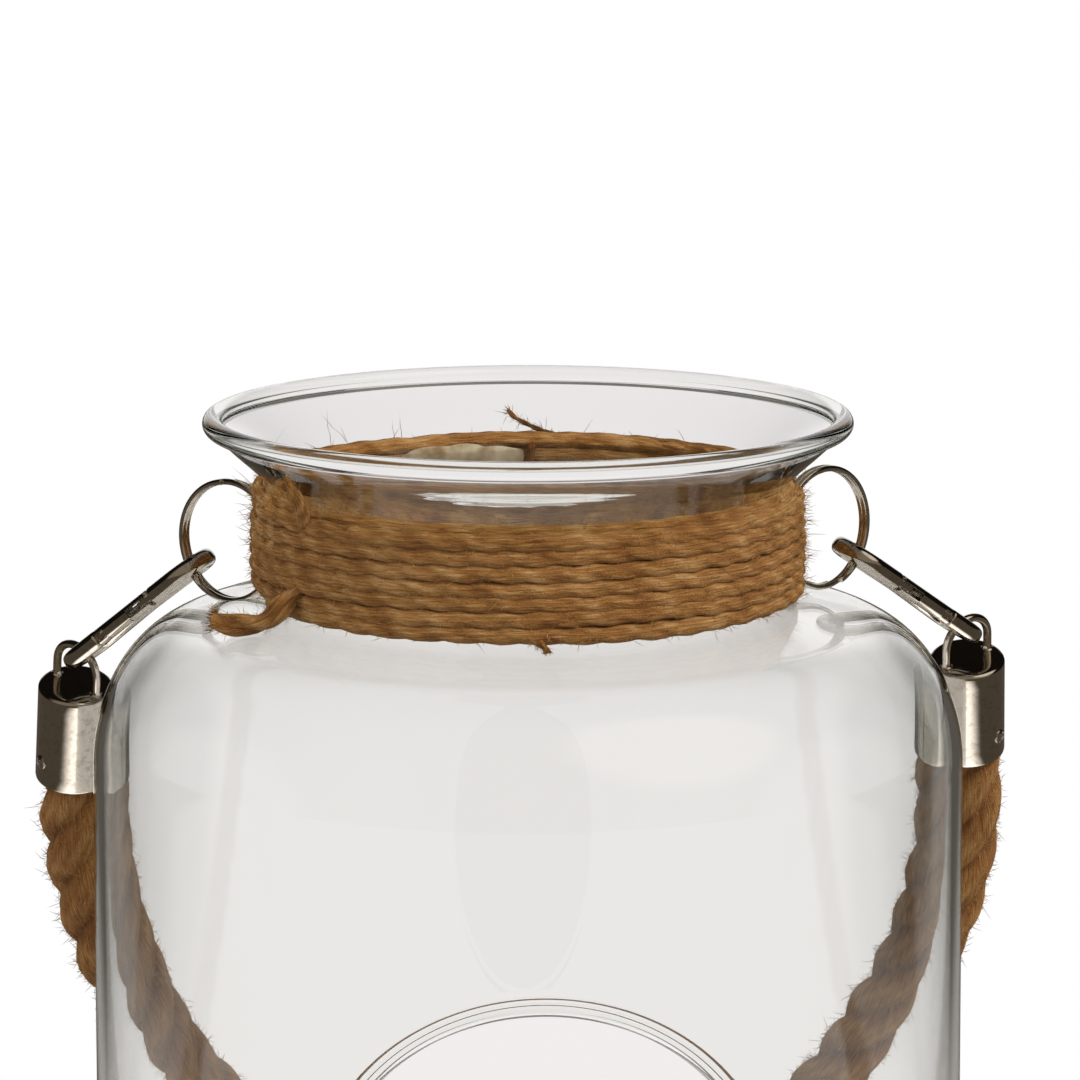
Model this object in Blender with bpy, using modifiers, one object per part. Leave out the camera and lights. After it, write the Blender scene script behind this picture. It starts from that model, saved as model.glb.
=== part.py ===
"""Jar lantern: a clear glass jar with a twine-bound neck and a thick rope handle.

A split ring on each side is held under the twine. A snap hook joins each ring to the wire bail
of a metal end cap, and the rope handle is fixed in the two caps.

Metres, +Z up. The origin is the middle of the base, and the front opening faces -Y.
"""
import math

import bmesh
import bpy
import numpy as np
from mathutils import Matrix, Vector

MM = 0.001
GAP = 0.3 * MM                      # air left between pieces that touch on the real object

# Glass jar
JAR_RADIUS = 86.0 * MM
JAR_WALL = 3.0 * MM
NECK_RADIUS = 47.5 * MM
RIM_RADIUS = 61.8 * MM              # to the middle of the rim's rolled edge
RIM_HEIGHT = 241.6 * MM
RIM_BEAD = 1.6 * MM
CREST_RADIUS = 69.5 * MM            # the raised ring on the shoulder
CREST_HEIGHT = 204.0 * MM
GROOVE_RADIUS = 60.5 * MM           # the shallow groove between the ring and the neck
GROOVE_HEIGHT = 202.5 * MM
JAR_STEPS = 52

# Round opening in the front wall
OPENING_HEIGHT = 103.0 * MM
OPENING_OFFSET = 3.0 * MM           # the opening is blown a little to the right of the middle
OPENING_RADIUS = 40.0 * MM
OPENING_BEAD = 2.3 * MM

# Twine round the neck
TWINE_RADIUS = 54.5 * MM
TWINE_BOTTOM = 207.2 * MM
TWINE_TOP = 229.3 * MM

# Split rings: two turns of wire
RING_MEAN_RADIUS = 11.85 * MM
RING_WIRE = 1.2 * MM
RING_PITCH = 1.3 * MM

# Snap hooks
HOOK_LENGTH = 42.0 * MM
HOOK_WIDTH = 14.0 * MM
HOOK_WIRE = 3.6 * MM
GATE_PIVOT = -5.5 * MM              # along the hook from its middle
GATE_END = 8.0 * MM
TONGUE = 1.2 * MM                   # thickness of the flattened ends beside the gate
FORK_SLOT = TONGUE + 2 * GAP
PIN_RADIUS = 0.6 * MM

# Rope end caps with their bails
CAP_RADIUS = 7.7 * MM
CAP_LENGTH = 22.0 * MM
CAP_WALL = 0.7 * MM
BAIL_WIRE = 1.7 * MM
BAIL_WIDTH = 11.0 * MM              # between the middles of its legs
BAIL_HEIGHT = 9.05 * MM             # from the cap to the middle of the wire at the top
SCREW_HEAD = 1.5 * MM               # radius
SCREW_LEVEL = 5.2 * MM              # above the lower edge of the cap

# Rope
ROPE_RADIUS = 7.2 * MM
ROPE_IN_CAP = CAP_RADIUS - CAP_WALL - GAP

SIDES = {
    "left": {"sign": -1, "ring": (-59.0, 7.0, 216.3), "ring_yaw": 37.0, "grip": 33.0,
             "hook_back": 31.0, "hook_dip": 37.0, "hook_twist": 3.35,
             "cap_lean": 4.0, "bail_yaw": 42.15, "ring_swing": 13.5,
             "hook_axis": (0.9974, -0.0715, 0.0116), "hook_pivot": (-0.64, -7.47, 9.11)},
    "right": {"sign": 1, "ring": (58.4, 7.0, 219.0), "ring_yaw": 44.0, "grip": 35.0,
              "hook_back": 38.0, "hook_dip": 32.5, "hook_twist": 1.99,
              "cap_lean": 2.0, "bail_yaw": 39.32, "ring_swing": -9.5,
              "hook_axis": (0.9868, 0.1573, -0.0394), "hook_pivot": (1.44, -7.43, 6.49)},
}
CAP_BACK = 21.0                     # degrees the caps hang back from straight down
HANDLE_AXIS = (0.0, -5.05, 6.14)    # of the handle's hinge line from the hooks' ends, in mm
RING_AXIS = NECK_RADIUS + 1.9 * MM  # of the upright line each ring swings about, from the middle

# Middle line of the rope between the mouths of the caps, in millimetres
ROPE_ROUTE = [(-92.4, 46.0, 142.0), (-86.5, 56.5, 118.0), (-76.0, 68.5, 95.0), (-61.0, 80.0, 75.0),
              (-42.0, 89.0, 60.0), (-21.0, 95.5, 51.0), (1.0, 98.0, 48.5), (22.0, 96.5, 52.0),
              (42.0, 91.0, 62.0), (59.0, 83.5, 78.0), (73.0, 74.0, 98.0), (84.0, 63.5, 120.0),
              (90.0, 52.5, 144.0)]
ROPE_POINTS = 26

UP = Vector((0.0, 0.0, 1.0))


# ---------------------------------------------------------------- small helpers

def material(name, color, roughness, metallic=0.0, alpha=1.0):
    """A Principled material in one colour."""
    made = bpy.data.materials.new(name)
    made.use_nodes = True
    shader = made.node_tree.nodes["Principled BSDF"]
    shader.inputs["Base Color"].default_value = (*color, 1.0)
    shader.inputs["Roughness"].default_value = roughness
    shader.inputs["Metallic"].default_value = metallic
    shader.inputs["Alpha"].default_value = alpha
    return made


def add(name, data, made_of, collection):
    """A new object in a collection, with its material."""
    obj = bpy.data.objects.new(name, data)
    if made_of and not data.materials:
        data.materials.append(made_of)
    collection.objects.link(obj)
    return obj


def frame(origin, x_axis, y_axis, z_axis):
    """The placing matrix of a piece from its origin and its three directions."""
    turn = Matrix((x_axis, y_axis, z_axis)).transposed().to_4x4()
    return Matrix.Translation(origin) @ turn


def bezier(start, pull_a, pull_b, end, count):
    """Points on a cubic curve, without its first point."""
    t = np.linspace(0.0, 1.0, count + 1)[1:, None]
    start, pull_a, pull_b, end = (np.array(p, float) for p in (start, pull_a, pull_b, end))
    points = ((1 - t) ** 3 * start + 3 * t * (1 - t) ** 2 * pull_a
              + 3 * t ** 2 * (1 - t) * pull_b + t ** 3 * end)
    return [tuple(p) for p in points]


def turned(name, profile, steps, made_of, collection, closed=False):
    """A profile in the XZ plane turned about Z with a Screw modifier."""
    mesh = bpy.data.meshes.new(name)
    points = [(x, 0.0, z) for x, z in profile]
    edges = [(i, i + 1) for i in range(len(points) - 1)]
    if closed:
        edges.append((len(points) - 1, 0))
    mesh.from_pydata(points, edges, [])
    obj = add(name, mesh, made_of, collection)
    screw = obj.modifiers.new("turn", "SCREW")
    screw.steps = screw.render_steps = steps
    screw.use_merge_vertices = True
    screw.merge_threshold = 0.00001
    screw.use_smooth_shade = True
    return obj


def tube(name, points, radius, made_of, collection, sides=2, closed=False, widths=None):
    """A wire or rope along points: a bevelled curve with filled caps, made a welded mesh."""
    curve = bpy.data.curves.new(name, "CURVE")
    curve.dimensions = "3D"
    curve.bevel_depth = radius
    curve.bevel_resolution = sides
    curve.use_fill_caps = True
    line = curve.splines.new("POLY")
    line.points.add(len(points) - 1)
    for i, point in enumerate(points):
        line.points[i].co = (*point, 1.0)
        if widths is not None:
            line.points[i].radius = widths[i]
    line.use_cyclic_u = closed
    source = bpy.data.objects.new(name + "_curve", curve)
    collection.objects.link(source)
    bpy.context.view_layer.update()
    evaluated = source.evaluated_get(bpy.context.evaluated_depsgraph_get())
    mesh = bpy.data.meshes.new_from_object(evaluated)
    bpy.data.objects.remove(source)
    bpy.data.curves.remove(curve)
    weld(mesh)
    mesh.materials.clear()
    obj = add(name, mesh, made_of, collection)
    mesh.shade_smooth()
    mesh.set_sharp_from_angle(angle=math.radians(40))
    return obj


def weld(mesh):
    """Joins a mesh's loose caps to its sides and turns its faces outward."""
    work = bmesh.new()
    work.from_mesh(mesh)
    bmesh.ops.remove_doubles(work, verts=work.verts, dist=0.000001)
    bmesh.ops.recalc_face_normals(work, faces=work.faces)
    work.to_mesh(mesh)
    work.free()


def block(name, size, matrix, made_of, collection):
    """A box of the given size in a frame of its own."""
    mesh = bpy.data.meshes.new(name)
    work = bmesh.new()
    bmesh.ops.create_cube(work, size=1.0, matrix=matrix @ Matrix.Diagonal((*size, 1.0)))
    work.to_mesh(mesh)
    work.free()
    return add(name, mesh, made_of, collection)


def rod(name, radius, length, matrix, made_of, collection, segments=20, radius_top=None):
    """A cylinder or cone along its frame's Z, from -length/2 to length/2."""
    mesh = bpy.data.meshes.new(name)
    work = bmesh.new()
    top = radius if radius_top is None else radius_top
    bmesh.ops.create_cone(work, cap_ends=True, segments=segments, radius1=radius, radius2=top,
                          depth=length, matrix=matrix)
    work.to_mesh(mesh)
    work.free()
    return add(name, mesh, made_of, collection)


def boolean(obj, cutter, operation="DIFFERENCE"):
    """Cuts a piece by, or joins it with, a hidden guide."""
    modifier = obj.modifiers.new(operation.lower(), "BOOLEAN")
    modifier.operation = operation
    modifier.solver = "EXACT"
    modifier.object = cutter
    cutter.hide_render = True
    cutter.display_type = "WIRE"


def hang(obj, parent):
    """Parents a piece, keeping its place in the world."""
    bpy.context.view_layer.update()
    obj.parent = parent
    obj.matrix_parent_inverse = parent.matrix_world.inverted()


def settle(obj, matrix):
    """Moves a mesh that was made in world coordinates into an object placed by matrix."""
    obj.data.transform(matrix.inverted())
    obj.matrix_world = matrix


def pivot(name, matrix, collection):
    """An empty on a joint's axis."""
    empty = bpy.data.objects.new(name, None)
    empty.empty_display_size = 0.01
    empty.matrix_world = matrix
    collection.objects.link(empty)
    return empty


# ---------------------------------------------------------------- the jar and its twine

def jar_outline():
    """Middle of the glass wall, from the middle of the base to the rim, as (radius, height)."""
    half = JAR_WALL / 2
    body = JAR_RADIUS - half
    neck = NECK_RADIUS - half
    line = [(0.0, half), (36.0 * MM, half), (73.0 * MM, half)]
    line += bezier(line[-1], (80.5 * MM, half), (body, 6.0 * MM), (body, 15.0 * MM), 3)
    line.append((body, 174.0 * MM))
    line += bezier(line[-1], (body, 186.5 * MM), (79.0 * MM, CREST_HEIGHT - 2 * half),
                   (CREST_RADIUS, CREST_HEIGHT - half), 6)
    line += bezier(line[-1], (66.0 * MM, CREST_HEIGHT - half), (64.0 * MM, GROOVE_HEIGHT - half),
                   (GROOVE_RADIUS, GROOVE_HEIGHT - half), 2)
    line += bezier(line[-1], (53.0 * MM, GROOVE_HEIGHT - half), (neck, 202.0 * MM),
                   (neck, 210.0 * MM), 3)
    line.append((neck, 221.0 * MM))
    line += bezier(line[-1], (neck, 231.0 * MM), (57.0 * MM, 235.0 * MM),
                   (RIM_RADIUS, RIM_HEIGHT), 5)
    return np.array(line)


def thicken(line, half):
    """The two sides of a wall round a middle line."""
    along = np.gradient(line, axis=0)
    along /= np.linalg.norm(along, axis=1)[:, None]
    across = np.stack([along[:, 1], -along[:, 0]], axis=1)
    across[0] = (0.0, -1.0)
    return line + across * half, line - across * half


def glass_jar(glass, collection, guides):
    """The turned jar with its rolled rim, and the beaded round opening in its front wall."""
    line = jar_outline()
    outer, inner = thicken(line, JAR_WALL / 2)
    rim = np.array([RIM_RADIUS, RIM_HEIGHT])
    direction = line[-1] - line[-2]
    heading = math.atan2(direction[1], direction[0])
    turns = np.linspace(heading - 0.7 * math.pi, heading + 0.7 * math.pi, 7)
    bead = [tuple(rim + RIM_BEAD * 1.15 * np.array([math.cos(a), math.sin(a)])) for a in turns]
    profile = [tuple(p) for p in inner[:-1]] + bead[::-1] + [tuple(p) for p in outer[:-1][::-1]]
    profile[0] = (0.0, profile[0][1])
    profile[-1] = (0.0, profile[-1][1])
    jar = turned("glass_jar", profile, JAR_STEPS, glass, collection)

    centre = Vector((OPENING_OFFSET, -JAR_RADIUS, OPENING_HEIGHT))
    across = Matrix.Rotation(math.radians(90), 4, "X")
    hole = rod("opening_cut", OPENING_RADIUS + OPENING_BEAD / 2, 50 * MM,
               Matrix.Translation(centre) @ across, None, guides, segments=40)
    boolean(jar, hole)
    radius = OPENING_RADIUS + OPENING_BEAD
    wall = JAR_RADIUS - JAR_WALL / 2
    ring = []
    for turn in np.linspace(0.0, 2 * math.pi, 48, endpoint=False):
        x = OPENING_OFFSET + radius * math.cos(turn)
        z = OPENING_HEIGHT + radius * math.sin(turn)
        ring.append((x, -math.sqrt(wall ** 2 - x ** 2), z))
    edge = tube("opening_bead", ring, OPENING_BEAD, None, guides, closed=True)
    boolean(jar, edge, "UNION")
    return jar


def neck_twine(twine, collection, guides, rings):
    """The wound twine as one plain band, with a channel round each split ring."""
    profile = [(TWINE_RADIUS - 2.0 * MM, TWINE_TOP), (TWINE_RADIUS, TWINE_TOP - 2.0 * MM),
               (TWINE_RADIUS, TWINE_BOTTOM + 2.0 * MM), (TWINE_RADIUS - 2.0 * MM, TWINE_BOTTOM),
               (50.6 * MM, TWINE_BOTTOM), (48.6 * MM, 209.5 * MM), (NECK_RADIUS + GAP, 212.5 * MM),
               (NECK_RADIUS + GAP, 219.5 * MM), (48.9 * MM, 225.0 * MM), (51.6 * MM, TWINE_TOP)]
    band = turned("neck_twine", profile, 48, twine, collection, closed=True)
    for side, ring in rings.items():
        for part in (0.0, 0.5, 1.0):
            swing = Matrix.Rotation(math.radians(part * ring["swing"]), 4, "Z")
            about = Matrix.Translation(ring["pivot"])
            yaw = about @ swing @ about.inverted()
            points = [yaw @ (ring["centre"] + RING_MEAN_RADIUS
                             * (math.cos(t) * ring["out"] + math.sin(t) * UP))
                      for t in np.linspace(0.0, 2 * math.pi, 28, endpoint=False)]
            channel = tube(f"{side}_channel_{len(band.modifiers)}", points, 1.85 * MM, None, guides,
                           closed=True)
            boolean(band, channel)
    return band


def twine_tail(twine, collection):
    """The cut end of the twine, leaving the band's lower edge and lying on the shoulder."""
    route = [(-47.2, -32.4, 210.5), (-49.6, -31.2, 208.0), (-53.0, -29.4, 206.3),
             (-57.0, -27.8, 205.8), (-60.5, -26.8, 206.5)]
    points = [tuple(c * MM for c in p) for p in route]
    return tube("twine_tail", points, 2.2 * MM, twine, collection, sides=3)


# ---------------------------------------------------------------- rings, hooks and caps

def side_frames(spec):
    """Every place and direction of one side, worked out from its few angles."""
    sign = spec["sign"]
    yaw = math.radians(spec["ring_yaw"])
    centre = Vector(spec["ring"]) * MM
    out = Vector((sign * math.cos(yaw), math.sin(yaw), 0.0))
    normal = Vector((-sign * math.sin(yaw), math.cos(yaw), 0.0))
    grip = math.radians(spec["grip"])
    contact = centre + RING_MEAN_RADIUS * (math.cos(grip) * out - math.sin(grip) * UP)

    back = math.radians(spec["hook_back"])
    dip = math.radians(spec["hook_dip"])
    along = Vector((sign * math.cos(back) * math.cos(dip), math.sin(back) * math.cos(dip),
                    -math.sin(dip)))
    reach = HOOK_LENGTH - HOOK_WIRE - RING_PITCH / 2 - RING_WIRE / 2 - HOOK_WIRE / 2 + 0.05 * MM
    hold = contact + along * reach
    middle = hold - along * (HOOK_LENGTH / 2 - HOOK_WIRE / 2)
    tilted = Vector((0.0, math.cos(math.radians(10)), -math.sin(math.radians(10))))
    lower = along.cross(tilted).normalized()
    lower *= -1 if lower.z > 0 else 1
    deep = lower.cross(along)
    deep *= -1 if deep.y < 0 else 1
    twist = math.radians(spec["hook_twist"])
    width = (math.cos(twist) * deep + math.sin(twist) * lower).normalized()

    lean = math.radians(spec["cap_lean"])
    hang_back = math.radians(CAP_BACK)
    down = Vector((sign * math.sin(lean), math.sin(hang_back) * math.cos(lean),
                   -math.cos(hang_back) * math.cos(lean))).normalized()
    crown = hold - down * (HOOK_WIRE / 2 + BAIL_WIRE / 2 + GAP)
    top = crown + down * BAIL_HEIGHT
    bail_yaw = math.radians(spec["bail_yaw"])
    spread = Vector((sign * math.cos(bail_yaw), math.sin(bail_yaw), 0.0))
    spread = (spread - down * spread.dot(down)).normalized()
    turn = Vector(spec["hook_axis"]).normalized()
    level = turn.cross(UP).normalized()
    return {"sign": sign, "centre": centre, "out": out, "normal": normal, "hold": hold,
            "hook": frame(middle, along, width, along.cross(width)), "down": down, "top": top,
            "cap": frame(top, spread, (-down).cross(spread), -down),
            "pivot": Vector((sign * RING_AXIS, 0.0, centre.z)), "swing": spec["ring_swing"],
            "hook_pivot": frame(middle + Vector(spec["hook_pivot"]) * MM, turn, level,
                                turn.cross(level))}


def split_ring(side, at, nickel, collection):
    """Two turns of wire with a bend where each end crosses to the next turn."""
    count = 44
    points = []
    start = 1.45 if side == "left" else -1.2
    for i in range(count + 1):
        part = i / count
        angle = start + at["sign"] * part * 4 * math.pi * 0.985
        level = RING_PITCH * (part - 0.5) * 2
        offset = RING_PITCH / 2 * math.tanh(level / RING_PITCH * 4.0)
        points.append(at["centre"] + RING_MEAN_RADIUS * (math.cos(angle) * at["out"]
                                                         + math.sin(angle) * UP) + offset * at["normal"])
    ring = tube(f"{side}_split_ring", points, RING_WIRE / 2, nickel, collection)
    settle(ring, frame(at["centre"], at["out"], at["normal"], at["out"].cross(at["normal"])))
    return ring


def hook_path():
    """The bent wire of a hook's body, in the hook's own frame: nose, ring end, back, bail end."""
    radius = (HOOK_WIDTH - HOOK_WIRE) / 2
    half = (HOOK_LENGTH - HOOK_WIRE) / 2 - radius
    body_start = GATE_PIVOT - 2.6 * MM
    nose = GATE_END + GAP
    path = [(body_start, -radius), (-half - 0.01 * MM, -radius)]
    path += [(-half - radius * math.sin(a), -radius * math.cos(a))
             for a in np.linspace(0.0, math.pi, 9)[1:]]
    path += [(half + radius * math.sin(a), radius * math.cos(a))
             for a in np.linspace(0.0, math.pi, 9)]
    path.append((nose, -radius))
    return [Vector((x, y, 0.0)) for x, y in path], radius


def snap_hook(side, at, nickel, steel, collection, guides, parent):
    """A wire hook with a sprung gate: body, gate, gate pin and gate spring."""
    place = at["hook"]
    path, radius = hook_path()
    body = tube(f"{side}_hook_body", [place @ p for p in path], HOOK_WIRE / 2, nickel, collection)
    pin_at = Vector((GATE_PIVOT, -radius, 0.0))
    reach = 3.6 * MM
    tongue = block(f"{side}_hinge_tongue", (reach, 2.6 * MM, TONGUE),
                   place @ Matrix.Translation(pin_at - Vector((reach / 2, 0.0, 0.0))), None, guides)
    boolean(body, tongue, "UNION")
    knuckle = rod(f"{side}_hinge_knuckle", 1.5 * MM, TONGUE, place @ Matrix.Translation(pin_at), None,
                  guides)
    boolean(body, knuckle, "UNION")
    lip_length = 2.0 * MM
    lip = block(f"{side}_nose_tongue", (lip_length + 1.0 * MM, 2.2 * MM, TONGUE),
                place @ Matrix.Translation((GATE_END + GAP - lip_length / 2 + 0.5 * MM, -radius, 0.0)),
                None, guides)
    boolean(body, lip, "UNION")
    eye = rod(f"{side}_pin_hole", PIN_RADIUS + GAP, 6 * MM, place @ Matrix.Translation(pin_at), None,
              guides, segments=16)
    boolean(body, eye)

    gate_length = GATE_END - GATE_PIVOT + 1.7 * MM
    lengthways = Matrix.Rotation(math.radians(90), 4, "Y")
    middle = Vector((GATE_END - gate_length / 2, -radius, 0.0))
    gate = rod(f"{side}_hook_gate", HOOK_WIRE / 2 - 0.05 * MM, gate_length,
               place @ Matrix.Translation(middle) @ lengthways, nickel, collection, segments=16)
    hinge_slot = block(f"{side}_hinge_slot", (8.0 * MM, 6 * MM, FORK_SLOT),
                       place @ Matrix.Translation(pin_at), None, guides)
    nose_slot = block(f"{side}_nose_slot", (5.0 * MM, 6 * MM, FORK_SLOT),
                      place @ Matrix.Translation((GATE_END, -radius, 0.0)), None, guides)
    for cutter in (hinge_slot, nose_slot, eye):
        boolean(gate, cutter)
    pin = rod(f"{side}_gate_pin", PIN_RADIUS, HOOK_WIRE - 0.2 * MM, place @ Matrix.Translation(pin_at),
              steel, collection, segments=12)
    coil = []
    turns = 3
    for i in range(turns * 8 + 1):
        angle = i * math.pi / 4
        along = GATE_PIVOT + 1.95 * MM + i * 1.7 * MM / (turns * 8)
        coil.append(place @ Vector((along, -radius + 0.9 * MM * math.cos(angle),
                                    0.45 * MM * math.sin(angle))))
    spring = tube(f"{side}_gate_spring", coil, 0.15 * MM, steel, collection, sides=1)

    hinge = pivot(f"{side}_gate_pivot", place @ Matrix.Translation(pin_at), collection)
    hang(hinge, parent)
    for piece in (body, pin):
        hang(piece, parent)
    for piece in (gate, spring):
        hang(piece, hinge)


def end_cap(side, at, nickel, steel, collection, guides, parent):
    """A metal cup on the rope's end with its wire bail and its fixing screw."""
    place = at["cap"]
    inner = CAP_RADIUS - CAP_WALL
    profile = [(0.0, 0.0), (CAP_RADIUS - 0.8 * MM, 0.0), (CAP_RADIUS - 0.25 * MM, -0.25 * MM),
               (CAP_RADIUS, -0.8 * MM), (CAP_RADIUS, -CAP_LENGTH), (inner, -CAP_LENGTH),
               (inner, -CAP_WALL), (0.0, -CAP_WALL)]
    cap = turned(f"{side}_end_cap", profile, 24, nickel, collection)
    cap.matrix_world = place
    leg = BAIL_WIDTH / 2
    for end in (-1, 1):
        hole = rod(f"{side}_bail_hole_{end + 2}", BAIL_WIRE / 2 + GAP, 4 * MM,
                   place @ Matrix.Translation((end * leg, 0.0, 0.0)), None, guides, segments=16)
        boolean(cap, hole)

    arc_height = BAIL_HEIGHT - leg
    foot = -2.2 * MM
    route = [(-2.6 * MM, foot), (-leg + 0.6 * MM, foot), (-leg, foot + 0.6 * MM)]
    route += [(-leg * math.cos(a), arc_height + leg * math.sin(a))
              for a in np.linspace(0.0, math.pi, 13)]
    route += [(leg, foot + 0.6 * MM), (leg - 0.6 * MM, foot), (2.6 * MM, foot)]
    bail = tube(f"{side}_bail", [place @ Vector((x, 0.0, z)) for x, z in route], BAIL_WIRE / 2, nickel,
                collection)

    outward = Vector((at["sign"] * 0.82, -0.57, 0.0))
    outward = (outward - at["down"] * outward.dot(at["down"])).normalized()
    centre = at["top"] + at["down"] * (CAP_LENGTH - SCREW_LEVEL)
    side_way = at["down"].cross(outward)
    screw_place = frame(centre + outward * (CAP_RADIUS - 0.35 * MM), at["down"], -side_way, outward)
    head = 1.1 * MM
    screw = rod(f"{side}_cap_screw", 0.8 * MM, 5.0 * MM,
                screw_place @ Matrix.Translation((0.0, 0.0, -2.5 * MM)), steel, collection, segments=12)
    dome = rod(f"{side}_screw_head", SCREW_HEAD, head,
               screw_place @ Matrix.Translation((0.0, 0.0, head / 2 - 0.2 * MM)), None, guides,
               segments=24, radius_top=SCREW_HEAD * 0.72)
    boolean(screw, dome, "UNION")
    for turn in (45, 135):
        slot = block(f"{side}_recess_{turn}", (2.2 * MM, 0.5 * MM, 0.8 * MM),
                     screw_place @ Matrix.Translation((0.0, 0.0, head - 0.2 * MM))
                     @ Matrix.Rotation(math.radians(turn), 4, "Z"), None, guides)
        boolean(screw, slot)
    bore = rod(f"{side}_screw_bore", SCREW_HEAD + GAP, 3.0 * MM,
               screw_place, None, guides, segments=24)
    boolean(cap, bore)
    rope_bore = rod(f"{side}_rope_bore", 0.8 * MM + GAP, 12.0 * MM,
                    screw_place @ Matrix.Translation((0.0, 0.0, 0.7 * MM)), None, guides, segments=16)
    seat = rod(f"{side}_head_seat", SCREW_HEAD + GAP, 2.0 * MM,
               screw_place @ Matrix.Translation((0.0, 0.0, 0.5 * MM)), None, guides, segments=16)
    for piece in (cap, bail, screw):
        hang(piece, parent)
    return rope_bore, seat


# ---------------------------------------------------------------- the rope

def smooth_route(points, count):
    """Evenly spaced points on a smooth curve through the given ones (Catmull-Rom)."""
    points = np.array(points, float)
    padded = np.vstack([2 * points[0] - points[1], points, 2 * points[-1] - points[-2]])
    fine = []
    for i in range(1, len(padded) - 2):
        a, b, c, d = padded[i - 1:i + 3]
        for t in np.linspace(0.0, 1.0, 12, endpoint=False):
            fine.append(0.5 * (2 * b + (c - a) * t + (2 * a - 5 * b + 4 * c - d) * t ** 2
                               + (3 * b - a - 3 * c + d) * t ** 3))
    fine.append(points[-1])
    fine = np.array(fine)
    length = np.concatenate([[0.0], np.cumsum(np.linalg.norm(np.diff(fine, axis=0), axis=1))])
    wanted = np.linspace(0.0, length[-1], count)
    return np.stack([np.interp(wanted, length, fine[:, k]) for k in range(3)], axis=1)


def rope_handle(rope, left, right, bores, collection, parent):
    """The thick rope, from inside one cap round behind the jar into the other."""
    def in_cap(at, depth):
        return tuple(at["top"] + at["down"] * depth)
    inset = 4.2 * MM
    mouth = CAP_LENGTH
    route = ([in_cap(left, mouth)] + [tuple(c * MM for c in p) for p in ROPE_ROUTE]
             + [in_cap(right, mouth)])
    free = smooth_route(route, ROPE_POINTS)
    points = [in_cap(left, inset), in_cap(left, mouth / 2)] + [tuple(p) for p in free]
    points += [in_cap(right, mouth / 2), in_cap(right, inset)]
    snug = ROPE_IN_CAP / ROPE_RADIUS
    widths = [snug, snug, snug] + [1.0] * (ROPE_POINTS - 2) + [snug, snug, snug]
    handle = tube("rope_handle", points, ROPE_RADIUS, rope, collection, sides=4, widths=widths)
    for bore in bores:
        boolean(handle, bore)
    hang(handle, parent)
    return handle


# ---------------------------------------------------------------- assembly

def main():
    for obj in list(bpy.data.objects):
        bpy.data.objects.remove(obj)
    parts = bpy.data.collections.new("jar_lantern")
    guides = bpy.data.collections.new("guides")
    for collection in (parts, guides):
        bpy.context.scene.collection.children.link(collection)

    glass = material("clear_glass", (0.82, 0.88, 0.86), 0.03, alpha=0.35)
    twine = material("jute_twine", (0.25, 0.12, 0.045), 0.9)
    rope = material("jute_rope", (0.33, 0.17, 0.06), 0.9)
    nickel = material("nickel_plate", (0.66, 0.61, 0.53), 0.12, metallic=1.0)
    steel = material("bright_screw", (0.72, 0.70, 0.66), 0.2, metallic=1.0)

    at = {side: side_frames(spec) for side, spec in SIDES.items()}
    glass_jar(glass, parts, guides)
    neck_twine(twine, parts, guides, at)
    twine_tail(twine, parts)

    line = (at["right"]["hold"] - at["left"]["hold"]).normalized()
    middle = (at["right"]["hold"] + at["left"]["hold"]) / 2 + Vector(HANDLE_AXIS) * MM
    back = UP.cross(line).normalized()
    handle_pivot = pivot("handle_pivot", frame(middle, line, back, line.cross(back)), parts)

    bores = []
    for side, places in at.items():
        ring_pivot = pivot(f"{side}_ring_pivot", Matrix.Translation(places["pivot"]), parts)
        hang(split_ring(side, places, nickel, parts), ring_pivot)
        hook_pivot = pivot(f"{side}_hook_pivot", places["hook_pivot"], parts)
        hang(hook_pivot, ring_pivot)
        snap_hook(side, places, nickel, steel, parts, guides, hook_pivot)
        bores += end_cap(side, places, nickel, steel, parts, guides, handle_pivot)
    rope_handle(rope, at["left"], at["right"], bores, parts, handle_pivot)


main()
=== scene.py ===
import math

import bmesh
import bpy
import numpy as np
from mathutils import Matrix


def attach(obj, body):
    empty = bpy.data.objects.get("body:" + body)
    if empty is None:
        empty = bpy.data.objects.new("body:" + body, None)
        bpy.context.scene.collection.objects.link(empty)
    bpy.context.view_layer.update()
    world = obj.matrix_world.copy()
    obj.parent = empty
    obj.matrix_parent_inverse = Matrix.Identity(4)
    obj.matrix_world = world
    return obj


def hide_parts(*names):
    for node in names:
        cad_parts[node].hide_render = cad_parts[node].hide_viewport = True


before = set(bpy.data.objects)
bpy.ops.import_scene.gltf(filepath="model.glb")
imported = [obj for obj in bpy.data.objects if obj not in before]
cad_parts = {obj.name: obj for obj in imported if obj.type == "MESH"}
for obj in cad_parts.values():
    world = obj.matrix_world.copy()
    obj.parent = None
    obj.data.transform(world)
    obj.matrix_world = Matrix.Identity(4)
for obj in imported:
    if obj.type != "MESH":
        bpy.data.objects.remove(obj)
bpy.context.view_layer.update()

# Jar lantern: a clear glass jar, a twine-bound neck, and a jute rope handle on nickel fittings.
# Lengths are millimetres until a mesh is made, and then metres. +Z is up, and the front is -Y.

MM = 0.001
TAU = 2 * math.pi
SCENE = bpy.context.scene


# ------------------------------------------------------------------ vectors and curves

def unit(vectors):
    return vectors / np.linalg.norm(vectors, axis=-1, keepdims=True)


def dot(a, b):
    return (a * b).sum(-1, keepdims=True)


def wobble(x, seed, waves=5, base=1.0):
    """A smooth random curve of x, about -1 to 1: sines of rising frequency and falling height."""
    rng = np.random.default_rng(seed)
    total = 0.0
    for k in range(waves):
        total = total + np.sin(x * base * (k + 1) * rng.uniform(0.7, 1.3) + rng.uniform(0, TAU)) / (k + 1)
    return total / 1.6


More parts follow.
